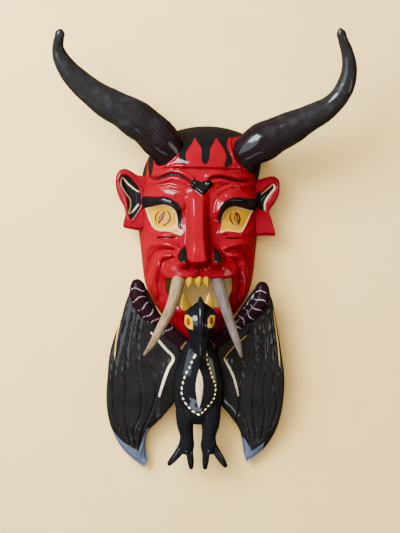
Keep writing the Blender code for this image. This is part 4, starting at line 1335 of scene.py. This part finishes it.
@dataclass
class Ear(Paired):
    """One flat carved ear with a scooped, painted hollow."""

    thickness: float = 18.0
    back: float = 22.0
    outline_left: Line = (
        (-62, 118), (-79, 120), (-87, 125), (-95, 128), (-102, 125.5), (-106, 119), (-107, 110),
        (-105.5, 99), (-101.5, 88), (-97, 80), (-94.5, 72), (-95, 62), (-97, 52), (-88, 49), (-76, 47.5),
        (-62, 50))
    outline_right: Line = (
        (70, 114), (83, 115), (92, 118), (102, 118.8), (107.5, 115), (109, 107), (107.5, 94), (102, 83),
        (96.5, 75.5), (94.5, 69), (97, 61), (100, 52), (103, 41), (93, 41), (82, 40.5), (70, 44))
    hollow_left: Line = (
        (-98.4, 118.8), (-91.9, 118.8), (-85.3, 113.6), (-76, 101.1), (-74, 80.7), (-86, 62), (-89.2, 68.9),
        (-90, 80.7), (-91.9, 91.3), (-97.1, 101.1), (-101, 112.3))
    hollow_right: Line = (
        (78, 96.5), (85.9, 98.5), (93.3, 104.5), (102.5, 110.5), (104.4, 105.4), (98.5, 97.8), (94.1, 91.8),
        (89.3, 85.1), (88.7, 73.5), (80, 76))
    centre_left: tuple[float, float] = (-88.0, 92.0)
    centre_right: tuple[float, float] = (90.0, 88.0)
    rim_left: Line = (
        (-76.7, 97.8), (-84.5, 103.2), (-90.5, 108.3), (-98.4, 116.2), (-100.1, 109.6), (-94.5, 97),
        (-87.9, 87.3), (-87.4, 79.4), (-89.2, 68.9), (-83, 74), (-76.7, 81.4))
    rim_right: Line = (
        (84.9, 95.5), (93.3, 102.4), (101.5, 108.1), (102.4, 104.4), (98, 98), (94.1, 92.8), (89.6, 85.5),
        (88.7, 74.5))

    lacquer: Lacquer = Lacquer(
        "ear_lacquer", (0.19, 0.0015, 0.009), (0.135, 0.001, 0.007),
        (Coat("black", (0.008, 0.008, 0.009)), Coat("cream", (0.60, 0.46, 0.22))),
        coat_weight=0.8, wave=0.4, chisel=0.15)

    def build(self) -> bpy.types.Object:
        """Build the ear.

        Returns:
            The closed ear, still to be seated and painted.
        """
        outline, hollow = self.chosen("outline"), self.chosen("hollow")
        points = along(tuple(outline) + (outline[0],), 121)[:-1]
        centre = np.array(self.chosen("centre"))
        loops = []
        for share in (0.93, 1.0):
            z = self.back + (0.35 * self.thickness if share == 1.0 else 0.0)
            loops.append([(*(centre + (p - centre) * share), z) for p in points])
        for share in np.concatenate((np.linspace(1.0, 0.9, 6), np.linspace(0.88, 0.06, 42))):
            flat = centre + (points - centre) * share
            edge = np.linalg.norm(points - flat, axis=1)
            z = self.back + self.thickness * (0.80 + 0.20 * smooth(edge / 4.0))
            scoop = inside_distance(flat[:, 0], flat[:, 1], hollow)
            lip = 1.0 * np.exp(-((scoop + 2.4) / 2.0) ** 2) * smooth(edge / 3.0)
            z = z - 9.0 * smooth((scoop + 2.0) / 7.0) + lip
            loops.append(np.column_stack((flat, z)))
        return loft(f"carved_ear_{self.side.value}", self.bench.metres(loops))

    def dress(self, ear: bpy.types.Object, finish: bpy.types.Material) -> None:
        """Paint the seated ear."""
        clad(ear, finish, 50.0)
        _, _, z = self.bench.grid(ear)
        above = z > self.back + 0.2 * self.thickness
        self.bench.paint(ear, "black", [Outline(self.chosen("hollow"))], above)
        self.bench.paint(ear, "cream", [Stroke(self.chosen("rim"), 1.9, 0.3)], above)


# The dragon and its wings


@dataclass
class Dragon:
    """The small dragon that hangs over the chin: head, beak, body, legs and toes."""

    bench: Bench
    sweep: SweepTree
    dashes: DashTree
    middle: float = 1.0
    torso_half: float = 33.0
    leg_radius: float = 10.5
    voxel: float = 0.9
    head_from: float = 95.0
    over_all: float = 200.0
    belly: float = 70.0
    dash_count: int = 15
    dash_height: float = 1.4
    irises: Line = ((-14.9, -68.4), (13.5, -67.2))
    torso: Line = (
        (-88, 0.28, 8, 64), (-97, 0.48, 13, 63), (-110, 0.68, 18, 61), (-128, 0.84, 22, 57),
        (-146, 0.96, 23.5, 54), (-162, 1.0, 23, 51), (-176, 0.95, 20, 48), (-188, 0.84, 16.5, 46),
        (-198, 0.54, 12, 45), (-206, 0.12, 5, 44))
    skull: Line = (
        (-45, 99, 2.5, 97.8, 5, 95, 4, 90), (-50, 106, 7, 103.5, 12.5, 98, 11, 89),
        (-56, 113, 10, 109.3, 18.5, 101, 17, 86), (-63, 117.5, 11.2, 113, 20, 103, 18, 84),
        (-71, 119, 11.2, 114.4, 20, 103, 18, 83), (-78, 117.5, 10.6, 113, 17.6, 102, 16, 83),
        (-83, 113, 9.4, 109, 15.2, 99, 14, 83), (-87, 110, 8.6, 106.4, 13.6, 98, 12.4, 83),
        (-95, 106.5, 7.2, 103.5, 11.2, 96, 10, 81), (-104, 102, 5.6, 99.7, 8.4, 92, 7.6, 79),
        (-114, 96.5, 3.4, 95.1, 5.4, 87.5, 4.8, 78), (-122, 89.5, 1.8, 88.7, 2.9, 83.5, 2.6, 77.5),
        (-128.5, 83.5, 0.5, 83.2, 0.9, 80.5, 1.0, 77.5))
    neck: Line = ((1, -62, 80, 13), (1, -80, 77, 12.5), (1, -98, 71, 12.5), (1, -120, 62, 14))
    crest: Line = (
        (0.5, -37.5, 97, 1.2), (0.5, -47, 111, 4.6), (0.5, -58, 118, 4.2), (0.5, -72, 120, 3.4),
        (0.5, -84, 117, 2.6))
    legs: tuple[Line, Line] = (
        ((-14, -172, 50, 1.25), (-16.4, -190, 47, 1.15), (-16, -206, 44, 1.03), (-13.8, -222, 41, 0.86),
         (-14.2, -236, 38, 0.98), (-15, -244, 36, 0.85)),
        ((15, -172, 50, 1.25), (17.2, -190, 47, 1.24), (17, -206, 44, 1.12), (15.2, -222, 41, 0.88),
         (15, -236, 38, 1.0), (15, -244, 36, 0.85)))
    toes: tuple[Line, ...] = (
        ((-17, -232, 38, 6.2), (-26, -246, 38, 5.2), (-34, -256, 35, 4.0), (-37.6, -261, 32, 2.6)),
        ((-12, -232, 38, 6.2), (-9.8, -246, 40, 5.0), (-8.2, -258, 37, 4.2), (-7.6, -266, 33, 2.8)),
        ((18, -232, 38, 6.2), (27, -246, 38, 5.2), (34.5, -258, 35, 4.2), (38.5, -264.5, 32, 2.8)),
        ((13, -232, 38, 6.2), (11.4, -246, 40, 5.0), (10.8, -258, 37, 4.2), (10.6, -266.5, 33, 2.8)))
    eye_left: Line = (
        (-21.5, -61), (-15.4, -59.8), (-10.4, -63.5), (-9.2, -77.8), (-14.1, -77.1), (-19.6, -70.9))
    eye_right: Line = ((18.8, -60.7), (13, -59.8), (8.8, -64.7), (8.8, -75.4), (14.7, -75.8), (17.9, -68.9))
    belly_left: Line = (
        (-4.6, -111.2), (-6.0, -115.2), (-8.9, -121.3), (-11.9, -128.9), (-15.4, -135.2), (-18.3, -142.8),
        (-20.4, -151.7), (-21.5, -159.3), (-20.1, -167), (-16.6, -174.6), (-11.6, -180.9), (-6.5, -186),
        (0, -190.1))
    belly_right: Line = (
        (10.2, -112.4), (10.7, -121.3), (13.6, -128.9), (15.5, -135.2), (18, -142.8), (20.6, -149.2),
        (21.8, -155.5), (21.2, -162.5), (19.8, -168.9), (16.5, -174.6), (12.9, -179), (9.1, -183.5),
        (5.3, -187.8))
    spindle: Line = (
        (0.4, -130.1), (4.1, -140.3), (5.5, -153), (4.3, -167), (0.8, -181.6), (-2.5, -167), (-3.8, -153),
        (-2.3, -140.3))
    # The left dashes are painted whiter and the right ones yellower: painted light, the left as lit by the
    # cool window and the right as in warm shade, over one cream paint.
    belly_paints: tuple[PlainPaint, ...] = (
        PlainPaint("cream_white", (0.86, 0.78, 0.60), (0.74, 0.60, 0.36), 0.30, 300.0, 0.3),
        PlainPaint("cream_yellow", (0.84, 0.64, 0.26), (0.70, 0.46, 0.13), 0.30, 300.0, 0.3),
        PlainPaint("spindle_wood", (0.80, 0.66, 0.40), (0.60, 0.42, 0.20), 0.45, 260.0))
    lacquer: Lacquer = Lacquer(
        "black_lacquer", (0.007, 0.0073, 0.009), (0.004, 0.0043, 0.0055),
        (Coat("gold", (0.50, 0.30, 0.0)), Coat("amber", (0.24, 0.060, 0.001)),
         Coat("ink", (0.05, 0.02, 0.01))),
        roughness=0.11, coat_weight=0.9, wave=0.4, chisel=0.12)

    def ovals(self, rows: Line, half_width: float, steps: int, sides: int,
              grow: float = 0.0) -> list[np.ndarray]:
        """Return smooth oval sections across Y, in metres.

        Args:
            rows: Sections as y, width share, half depth and centre height.
            half_width: Half the width where the share is one.
            steps: How many sections.
            sides: Points around each.
            grow: How far the body is grown.

        Returns:
            The loops.
        """
        loops = []
        weighed = [(y, share * SHARE_WEIGHT, deep, z) for y, share, deep, z in rows]
        for n, (y, share, deep, z) in enumerate(along(weighed, steps)):
            share = share / SHARE_WEIGHT
            step = grow if n == 0 else (-grow if n == steps - 1 else 0.0)
            a = np.linspace(0.0, 2.0 * math.pi, sides + 1)[:-1]
            x = self.middle + (share * half_width + grow) * np.cos(a)
            z = z + (deep + grow) * np.sin(a)
            loops.append(self.bench.metres(np.column_stack((x, np.full(sides, y + step), z))))
        return loops

    def tube(self, name: str, line: Line, radius: float, sides: int, steps: int = 30) -> bpy.types.Object:
        """Return one limb of the body."""
        return self.sweep.make(name, self.bench.path(line, steps), radius * MM, None, sides)

    def head(self) -> bpy.types.Object:
        """Return head and beak in planes: a middle ridge, brows, cheeks and jaws."""
        loops = []
        for y, ridge_z, brow, brow_z, cheek, cheek_z, jaw, jaw_z in along(self.skull, 90):
            half = [(0.0, ridge_z), (brow, brow_z), (cheek, cheek_z), (jaw, jaw_z)]
            ring = [(self.middle - px, y, pz) for px, pz in half[::-1]]
            ring += [(self.middle + px, y, pz) for px, pz in half[1:]]
            fine = []
            for p, q in zip(np.array(ring), np.array(ring[1:] + ring[:1])):
                fine += [tuple(p + (q - p) * t) for t in (0.0, 0.25, 0.5, 0.75)]
            loops.append(self.bench.metres(fine))
        return loft("skull", loops)

    def grown_torso(self) -> bpy.types.Object:
        """Return the body's form grown by the fit, which trims the wings."""
        return loft("torso_form", self.ovals(self.torso, self.torso_half, 24, 28, 0.5))

    def build(self) -> bpy.types.Object:
        """Build the dragon and melt its parts into one skin."""
        parts = [loft("body", self.ovals(self.torso, self.torso_half, 60, 64)),
                 self.head(),
                 self.tube("neck", self.neck, 1.0, 28),
                 self.tube("crest", self.crest, 1.0, 16, 40)]
        parts += [self.tube(f"leg_{k}", leg, self.leg_radius, 24) for k, leg in enumerate(self.legs)]
        parts += [self.tube(f"toe_{k}", toe, 1.0, 18) for k, toe in enumerate(self.toes)]
        dragon = joined("lacquered_dragon", parts)
        melt = dragon.modifiers.new("Melt", "REMESH")
        melt.mode = "VOXEL"
        melt.voxel_size = self.voxel * MM * 1.0
        soften = dragon.modifiers.new("Soften", "SMOOTH")
        soften.factor = 0.5
        soften.iterations = 4
        return settle(dragon)

    def dress(self, dragon: bpy.types.Object) -> None:
        """Paint the trimmed dragon."""
        clad(dragon, self.lacquer.material(), 60.0)
        _, _, z = self.bench.grid(dragon)
        on_head = z > self.head_from
        whites = [Outline(self.eye_left, False), Outline(self.eye_right, False)]
        around = np.linspace(0.0, 5.8, 10)
        irises = [Outline([(cx + 3.0 * math.cos(a), cy + 4.9 * math.sin(a)) for a in around])
                  for cx, cy in self.irises]
        slits = [Stroke(((cx - 0.6, cy + 3.8), (cx + 0.5, cy - 3.8)), 2.2, 0.5) for cx, cy in self.irises]
        for name, shapes in (("gold", whites), ("amber", irises), ("ink", slits)):
            self.bench.paint(dragon, name, shapes, on_head)

    def inlays(self, dragon: bpy.types.Object) -> list[bpy.types.Object]:
        """Lay the pale dashes and the spindle on the belly."""
        mesh = dragon.data
        tree = BVHTree.FromPolygons([v.co for v in mesh.vertices], [p.vertices for p in mesh.polygons])

        def on_skin(points: Line, lift: float) -> np.ndarray:
            """Return places on the belly's skin under some grid points."""
            out = []
            for p in self.bench.metres([(px, py, self.over_all) for px, py in points]):
                hit = tree.ray_cast(Vector(p), Vector((0.0, 0.0, -1.0)))[0]
                out.append((p[0], p[1], (hit.z if hit else self.belly * MM) + lift * MM))
            return np.array(out)

        # painted light: the whiter left dashes as lit, the yellower right ones as in warm shade
        cream, yellow, wood = (paint.material() for paint in self.belly_paints)
        made = []
        for name, line, finish, length, width in (
                ("belly_dashes_left", self.belly_left, cream, 5.0, 3.0),
                ("belly_dashes_right", self.belly_right, yellow, 3.8, 2.4)):
            path = on_skin([tuple(p) for p in along(line, 60)], -0.1)
            made.append(self.dashes.make(name, path, self.dash_count, length * MM, width * MM,
                                         self.dash_height * MM, finish))
        rim = along(tuple(self.spindle) + (self.spindle[0],), 49)[:-1]
        centre = rim.mean(axis=0)
        loops = [on_skin([tuple(centre + (p - centre) * s) for p in rim], lift)
                 for s, lift in ((1.0, -1.0), (1.0, 0.2), (0.86, 0.7), (0.5, 0.9), (0.1, 0.95))]
        made.append(loft("belly_spindle", loops, wood))
        return made


@dataclass
class Wing(Swept):
    """One carved wing with its incised lines, bone band and arm."""

    rows: int = 150
    columns: int = 76
    thickness: float = 11.0
    crown: float = 7.0
    bone_rise: float = 3.5
    face_from: float = 24.0
    arm_radius: float = 10.5
    stroke_steps: tuple[int, ...] = (12, 23, 34, 45, 56, 66, 75)
    edges_left: Line = (
        ((-84, -22), (-68, -26), 50), ((-94, -48), (-51, -59), 48), ((-99, -67), (-38, -86), 46),
        ((-107.5, -89), (-24, -104), 45), ((-114.5, -115), (-18, -122), 44),
        ((-117.5, -146), (-24, -142), 41), ((-119, -173), (-28, -163), 37),
        ((-116.5, -199), (-30, -179), 32), ((-109.5, -221), (-47, -201), 27),
        ((-99, -240.5), (-64, -219), 23), ((-84, -256.5), (-67.5, -240), 20),
        ((-69, -268), (-64.5, -257), 18))
    edges_right: Line = (
        ((90, -26), (74, -30), 50), ((98.5, -46), (55, -58), 48), ((104, -74), (40, -86), 46),
        ((108, -96), (26, -104), 45), ((111.5, -120), (20, -122), 44), ((115, -143), (26, -142), 41),
        ((115.2, -167), (29, -163), 37), ((113, -191), (30, -179), 32), ((107.5, -214), (45, -199), 27),
        ((97, -235), (57, -217), 23), ((84, -250.5), (62, -236), 20), ((68, -263.5), (64, -250), 18))
    lines_left: tuple[Line, ...] = (
        ((-94.3, -71.1), (-99.9, -92), (-105.4, -117.4), (-109.9, -151.3), (-108, -190), (-98.6, -221.4)),
        ((-84.5, -61.9), (-87.8, -81.4), (-91.7, -110), (-93, -137.4), (-93.2, -168.6), (-94.8, -190),
         (-88, -234.6)),
        ((-75.5, -70.4), (-77.4, -91.8), (-77.4, -117.2), (-76.1, -142.6), (-72.4, -171.2), (-73.5, -189.5),
         (-77.9, -203.8), (-82.6, -212.9), (-80, -240)),
        ((-61.1, -103.7), (-58.1, -127.2), (-53.9, -157.2), (-54.5, -168.9), (-59.1, -185.9), (-65.6, -202.2),
         (-72.2, -218.5), (-75.4, -240.4)))
    lines_right: tuple[Line, ...] = (
        ((94.3, -59.3), (99.4, -92), (101.8, -127.2), (100.8, -157.2), (106, -180), (98, -215)),
        ((86.1, -67.1), (90.1, -91.8), (90.6, -121.8), (89.3, -147.1), (86.7, -167.3), (90, -195),
         (86, -230)),
        ((75.6, -77.5), (77.6, -93.1), (78.2, -111.3), (76, -142), (73, -171), (74, -190), (79, -232)),
        ((62, -104), (61, -127), (58, -157), (60, -186), (68, -212), (75, -240)))
    chevron_left: Line = (
        (-67, -70), (-60.4, -85.3), (-52.6, -93.8), (-40.9, -107.4), (-31.8, -117.8), (-38.3, -132.2),
        (-45.5, -153), (-50, -169), (-52, -186), (-50, -208))
    chevron_right: Line = (
        (70, -74), (63.3, -89.2), (50.3, -100.9), (41.1, -110), (34, -119.1), (39.8, -129.6),
        (46.2, -142.6), (50.9, -158.2), (53.5, -169.3), (55, -186), (51, -206))
    vee_left: Line = (
        (-116, -200), (-98.6, -221.4), (-88, -234.6), (-75.5, -245.2), (-66, -228), (-58, -214),
        (-50, -240), (-66, -280), (-130, -260), (-135, -200))
    vee_right: Line = (
        (113, -196), (100, -216), (88, -231), (78, -240), (66, -224), (57, -212), (48, -240), (66, -280),
        (130, -260), (135, -196))
    # Outlines of the steel-blue coat on the bevelled wing tips, a painted reflection of the window's bluish
    # sheen on the bevels.
    steel_left: Line = (
        (-118, -213), (-114.4, -213.1), (-97.3, -231.9), (-76.8, -244.5), (-71.8, -230.1), (-66.6, -213.1),
        (-58, -214), (-55, -240), (-62, -275), (-100, -275), (-125, -235))
    steel_right: Line = (
        (58, -226), (64.7, -230.1), (73.9, -246.5), (90.3, -233.6), (88, -250), (77, -262), (62, -274),
        (54, -250))
    edge_left: Line = ((-100, -67.4), (-104.9, -91), (-108.1, -122.4))
    edge_right: Line = ((98.9, -55.6), (102.9, -83.1), (106.6, -111.9), (107.9, -130.9))
    arm_left: Line = (
        (-76, -17, 51, 0.26), (-76.7, -19, 51.3, 0.62), (-77.5, -23.5, 51.8, 0.86), (-77.8, -30, 52, 0.97),
        (-77, -38, 52.5, 1.0), (-71, -52, 52.5, 1.0), (-59, -66, 52, 0.95), (-44, -79, 51, 0.90),
        (-20, -101, 51, 0.90))
    arm_right: Line = (
        (80, -21, 51, 0.26), (81.2, -23, 51.3, 0.62), (83, -27.5, 51.8, 0.86), (83.7, -33.5, 52, 0.97),
        (83, -41, 52.5, 1.0), (75, -54, 52.5, 1.0), (62, -67, 52, 0.95), (47, -80, 51, 0.90),
        (22, -101, 51, 0.90))
    # Its steel-blue coat is painted reflection: the window's sheen on the bevelled tips, laid in as colour.
    lacquer: Lacquer = Lacquer(
        "wing_lacquer", (0.0125, 0.0115, 0.0115), (0.005, 0.005, 0.006),
        (Coat("steel", (0.095, 0.118, 0.185), 0.5), Coat("cream", (0.82, 0.74, 0.55)),
         Coat("gold", (0.60, 0.34, 0.07))),
        roughness=0.15, coat_weight=0.8, wave=0.25, chisel=0.06)
    arm_lacquer: Lacquer = Lacquer(
        "arm_lacquer", (0.012, 0.0035, 0.0055), (0.007, 0.0035, 0.005),
        (Coat("strokes", (0.33, 0.26, 0.30), 0.35),),
        roughness=0.35, coat_weight=0.12, wave=0.4, chisel=0.2)

    def relief(self, x: np.ndarray, y: np.ndarray) -> np.ndarray:
        """Return the carving of the wing's face."""
        z = np.zeros(np.shape(x))
        for line in self.chosen("lines"):
            distance = line_distance(x, y, along(line, 40))
            z = z - 1.5 * np.exp(-(distance / 0.95) ** 2) + 0.35 * np.exp(-((distance - 3.4) / 2.6) ** 2)
        sign = -1.0 if self.side is Side.LEFT else 1.0
        behind = ((sign * 20, -208), (0.0, -180), (0.0, -80), (sign * 40, -58))
        depth = inside_distance(x, y, tuple(self.chosen("chevron")) + behind)
        knuckle = hill(x, y, (sign * 21.0, -114.0), (15.0, 24.0))
        dip = hill(x, y, (sign * 56.0, -128.0), (13.0, 26.0))
        upper = smooth((190.0 + y) / 50.0)
        z = z + self.bone_rise * smooth((depth + 0.6) / 2.0) + 6.0 * knuckle
        z = z + 3.5 * np.exp(-np.maximum(-depth, 0.0) / 9.0) * (depth < 0.0) * upper
        z = z + 3.5 * upper * (depth >= 0.0) - 3.0 * dip
        chips = np.sin(0.75 * x + 0.12 * y) * np.sin(0.21 * x - 0.32 * y)
        z = z + 0.28 * chips * smooth((-depth - 1.0) / 4.0)
        vee = inside_distance(x, y, self.chosen("vee"))
        return z - 0.33 * np.clip(vee, 0.0, 12.0)

    def plate(self) -> bpy.types.Object:
        """Build the crowned plate.

        Returns:
            The closed plate before it is trimmed.
        """
        flat = [(*outer, *inner, z) for outer, inner, z in self.chosen("edges")]
        keys = list(range(len(flat)))
        rows, columns = counts(self.rows, self.columns)
        at = np.linspace(0, keys[-1], rows)
        ox, oy, ix, iy, height = (through(list(zip(keys, column)), at)[:, None] for column in zip(*flat))
        share = 0.5 - 0.5 * np.cos(np.linspace(0.0, math.pi, columns))
        share = (0.35 * share + 0.65 * np.linspace(0.0, 1.0, columns))[None, :]
        x, y = ox + (ix - ox) * share, oy + (iy - oy) * share
        width = np.abs(ix - ox)
        crown = self.crown * np.sin(math.pi * (share * 0.9 + 0.05)) * np.minimum(1.0, width / 60.0)
        rim = np.minimum(share, 1.0 - share) * width
        edge = self.thickness * 0.35 * (1.0 - smooth(rim / 3.0))
        top = height + crown - edge + self.relief(x, y) * smooth(rim / 1.5)
        low = height + 0.8 * crown * (1.0 - share) ** 0.3 - self.thickness + edge
        low = np.minimum(low, top - 2.5)
        loops = []
        for j in range(rows):
            face = np.column_stack((x[j], y[j], top[j]))
            back = np.column_stack((x[j], y[j], low[j]))[::-1]
            loops.append(self.bench.metres(np.concatenate((face, back))))
        return loft(f"wing_plate_{self.side.value}", loops, None, 45.0)

    def arm(self) -> bpy.types.Object:
        """Build the arm that lies over the wing's root."""
        return self.sweep.make(f"wing_arm_{self.side.value}", self.line(70, "arm"), self.arm_radius * MM,
                               None, 36)

    def strokes(self) -> list[Outline | Stroke]:
        """Return the pale wavy strokes that cross the arm, one after another."""
        path = along(self.chosen("arm"), 101)
        made: list[Outline | Stroke] = []
        for k in self.stroke_steps:
            ahead = path[k + 1, :2] - path[k - 1, :2]
            ahead = ahead / np.linalg.norm(ahead)
            across = np.array((-ahead[1], ahead[0]))
            reach = 0.88 * self.arm_radius * path[k, 3]
            wave = [tuple(path[k, :2] + across * reach * t + ahead * 2.0 * math.sin(2.6 * t + k))
                    for t in np.linspace(-1.0, 1.0, 9)]
            made.append(Stroke(wave, 1.35, 0.3))
        return made

    def dress(self, plate: bpy.types.Object, finish: bpy.types.Material) -> None:
        """Paint the trimmed plate."""
        clad(plate, finish, 50.0)
        _, _, z = self.bench.grid(plate)
        shown = self.chosen("chevron")[1:-2]
        above = z > self.face_from
        if self.side is Side.LEFT:
            cream = [Stroke(shown, 3.1, 0.3)]
            gold = [Stroke([(px + 0.7, py) for px, py in shown], 0.9, 0.4)]
        else:
            cream, gold = [Stroke(shown[3:], 2.8, 0.4)], [Stroke(shown[:4], 1.8, 0.3)]
        # painted reflection: the steel-blue tips stand for the window's sheen on their bevels
        self.bench.paint(plate, "steel", [Outline(self.chosen("steel"), False)])
        self.bench.paint(plate, "cream", cream, above)
        self.bench.paint(plate, "gold", gold + [Stroke(self.chosen("edge"), 1.5, 0.6)], above)


# The studio


@dataclass(frozen=True)
class Lamp:
    """One area light that points at the frame's origin, mirrored in the gloss or not."""

    name: str
    place: tuple[float, float, float]
    size: tuple[float, float]
    power: float
    colour: Colour
    mirrored: bool

    def hang(self) -> None:
        """Hang the light."""
        data = bpy.data.lights.new(self.name, "AREA")
        data.shape = "RECTANGLE"
        data.size, data.size_y = self.size
        data.energy = self.power
        data.color = self.colour
        lamp = bpy.data.objects.new(self.name, data)
        lamp.location = self.place
        lamp.rotation_euler = (-Vector(self.place)).to_track_quat("-Z", "Y").to_euler()
        lamp.visible_glossy = self.mirrored
        bpy.context.scene.collection.objects.link(lamp)


@dataclass
class Studio:
    """Pale floor, soft light and the camera."""

    bench: Bench
    reach: float = 2.5
    floor_paint: PlainPaint = PlainPaint("floor_cream", (0.95, 0.67, 0.245), (0.92, 0.64, 0.225),
                                         roughness=0.6, scale=9.0)
    lamps: tuple[Lamp, ...] = (
        Lamp("window", (-0.95, 0.75, 1.15), (0.75, 0.8), 42.0, (0.80, 0.90, 1.0), True),
        Lamp("day", (-0.95, 0.75, 1.15), (1.0, 1.0), 41.0, (0.98, 0.96, 0.96), False),
        Lamp("ceiling", (-0.35, 0.25, 1.9), (1.5, 1.5), 50.0, (1.0, 0.92, 0.80), False),
        Lamp("sky", (-1.15, 0.35, 1.1), (1.7, 1.3), 20.0, (0.72, 0.84, 1.0), True),
        Lamp("sill", (-0.15, -1.22, 0.70), (0.7, 0.06), 0.8, (0.74, 0.85, 1.0), True),
        Lamp("room", (1.25, -0.35, 0.75), (0.4, 0.7), 2.5, (1.0, 0.90, 0.76), True))
    air: Colour = (0.86, 0.78, 0.62)
    air_strength: float = 0.12
    eye: tuple[float, float, float] = (-66.346, 0.753, 1266.433)
    turn: tuple[float, float, float] = (-0.00065, -0.05689, 0.00039)
    focal: float = 937.63
    width: int = 400
    height: int = 533

    def floor(self) -> bpy.types.Object:
        """Lay the floor under the object."""
        corners = [(x * self.reach, y * self.reach, FLOOR_Z)
                   for x, y in ((-1, -1), (1, -1), (1, 1), (-1, 1))]
        floor = put("pale_floor", corners, [(0, 1, 2, 3)], self.floor_paint.material(), None)
        if floor.data.polygons[0].normal.z < 0:
            floor.data.flip_normals()
        return floor

    def lights(self) -> None:
        """Hang the lamps and fill the room with a faint warm light."""
        for lamp in self.lamps:
            lamp.hang()
        world = bpy.data.worlds.new("studio_air")
        world.use_nodes = True
        back = world.node_tree.nodes["Background"]
        back.inputs["Color"].default_value = (*self.air, 1.0)
        back.inputs["Strength"].default_value = self.air_strength
        bpy.context.scene.world = world

    def camera(self) -> None:
        """Set the camera where the photograph was taken from."""
        data = bpy.data.cameras.new("camera")
        data.sensor_width = 36.0
        data.lens = self.focal * data.sensor_width / max(self.width, self.height)
        data.clip_start, data.clip_end = 0.05, 20.0
        camera = bpy.data.objects.new("camera", data)
        camera.location = self.bench.metres(self.eye)
        a, b, c = self.turn
        camera.rotation_euler = (Matrix.Rotation(c, 3, "Z") @ Matrix.Rotation(b, 3, "Y")
                                 @ Matrix.Rotation(a, 3, "X")).to_euler()
        bpy.context.scene.collection.objects.link(camera)
        bpy.context.scene.camera = camera


@dataclass
class Workshop:
    """Builds the pieces in order and fixes each to the body."""

    bench: Bench = field(default_factory=Bench)
    form: HeadForm = field(default_factory=HeadForm)
    fit: float = 0.35

    def fix(self, piece: bpy.types.Object, node: str) -> None:
        """Fix a finished piece to the root body.

        Args:
            piece: The piece, in place.
            node: The solid that it stands for.
        """
        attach(piece, "root")
        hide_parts(node)
        LOG.info("%s stands for %s: %d faces", piece.name, node, len(piece.data.polygons))

    def trim_form(self) -> bpy.types.Object:
        """Return the head's form grown by the fit, which seats its neighbours."""
        return self.form.solid("head_form", self.bench, *counts(150, 200, quick_share=0.6), grow=self.fit,
                               floor=BELOW)

    def trimmed(self, piece: bpy.types.Object, *tools: bpy.types.Object) -> bpy.types.Object:
        """Cut a piece with copies of its neighbours' forms."""
        copies = []
        for tool in tools:
            twin = bpy.data.objects.new(f"{tool.name}_twin", tool.data.copy())
            bpy.context.scene.collection.objects.link(twin)
            copies.append(twin)
        cut(piece, copies)
        return piece

    def place_bench(self) -> None:
        """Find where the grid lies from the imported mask."""
        low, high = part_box("mask")
        points = self.form.field(200, 300)
        middle = 0.5 * (points[..., 0].min() + points[..., 0].max()) * MM
        self.bench.shift = Vector((0.5 * (low.x + high.x) - middle, low.y - self.form.chin * MM, 0.0))

    def build(self) -> None:
        """Build every piece in order."""
        self.place_bench()
        sweep, dashes = SweepTree(), DashTree()
        head = self.trim_form()
        mask = Mask(self.form, self.bench)
        shell = mask.build()
        tusks = [Tusk(side, self.bench, sweep) for side in Side]
        cut(shell, [tusk.socket() for tusk in tusks])
        mask.dress(shell)
        self.fix(shell, "mask")
        for piece in Teeth(self.form, self.bench).build():
            self.fix(piece, "mask")
        for tusk in tusks:
            self.fix(tusk.build(), f"tusk_{tusk.side.value}")
        horn_finish = HornFinish().material()
        for side in Side:
            horn = self.trimmed(Horn(side, self.bench, sweep).build(horn_finish), head)
            shade(horn, 50.0)
            self.fix(horn, f"horn_{side.value}")
        ear_finish = Ear.lacquer.material()
        for side in Side:
            ear = Ear(side, self.bench)
            piece = self.trimmed(ear.build(), head)
            ear.dress(piece, ear_finish)
            self.fix(piece, f"ear_{side.value}")
        self.build_dragon(sweep, dashes, head)
        remove(head)

    def build_dragon(self, sweep: SweepTree, dashes: DashTree, head: bpy.types.Object) -> None:
        """Build the dragon and its wings."""
        dragon = Dragon(self.bench, sweep, dashes)
        body = self.trimmed(dragon.build(), head)
        dragon.dress(body)
        self.fix(body, "dragon")
        for piece in dragon.inlays(body):
            self.fix(piece, "dragon")
        torso = dragon.grown_torso()
        arm_finish = Wing.arm_lacquer.material()
        for side in Side:
            wing = Wing(side, self.bench, sweep)
            plate = self.trimmed(wing.plate(), head, torso)
            wing.dress(plate, wing.lacquer.material())
            self.fix(plate, f"wing_{side.value}")
            arm = self.trimmed(wing.arm(), head, torso)
            clad(arm, arm_finish, 50.0)
            self.bench.paint(arm, "strokes", wing.strokes())
            self.fix(arm, f"wing_{side.value}")
        remove(torso)


def main() -> None:
    """Load the frame, build every piece and the studio."""
    logging.basicConfig(level=logging.INFO, format="%(message)s")
    for obj in list(bpy.data.objects):
        bpy.data.objects.remove(obj)
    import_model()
    shop = Workshop()
    shop.build()
    studio = Studio(shop.bench)
    studio.floor()
    studio.lights()
    studio.camera()


if __name__ == "__main__":
    main()
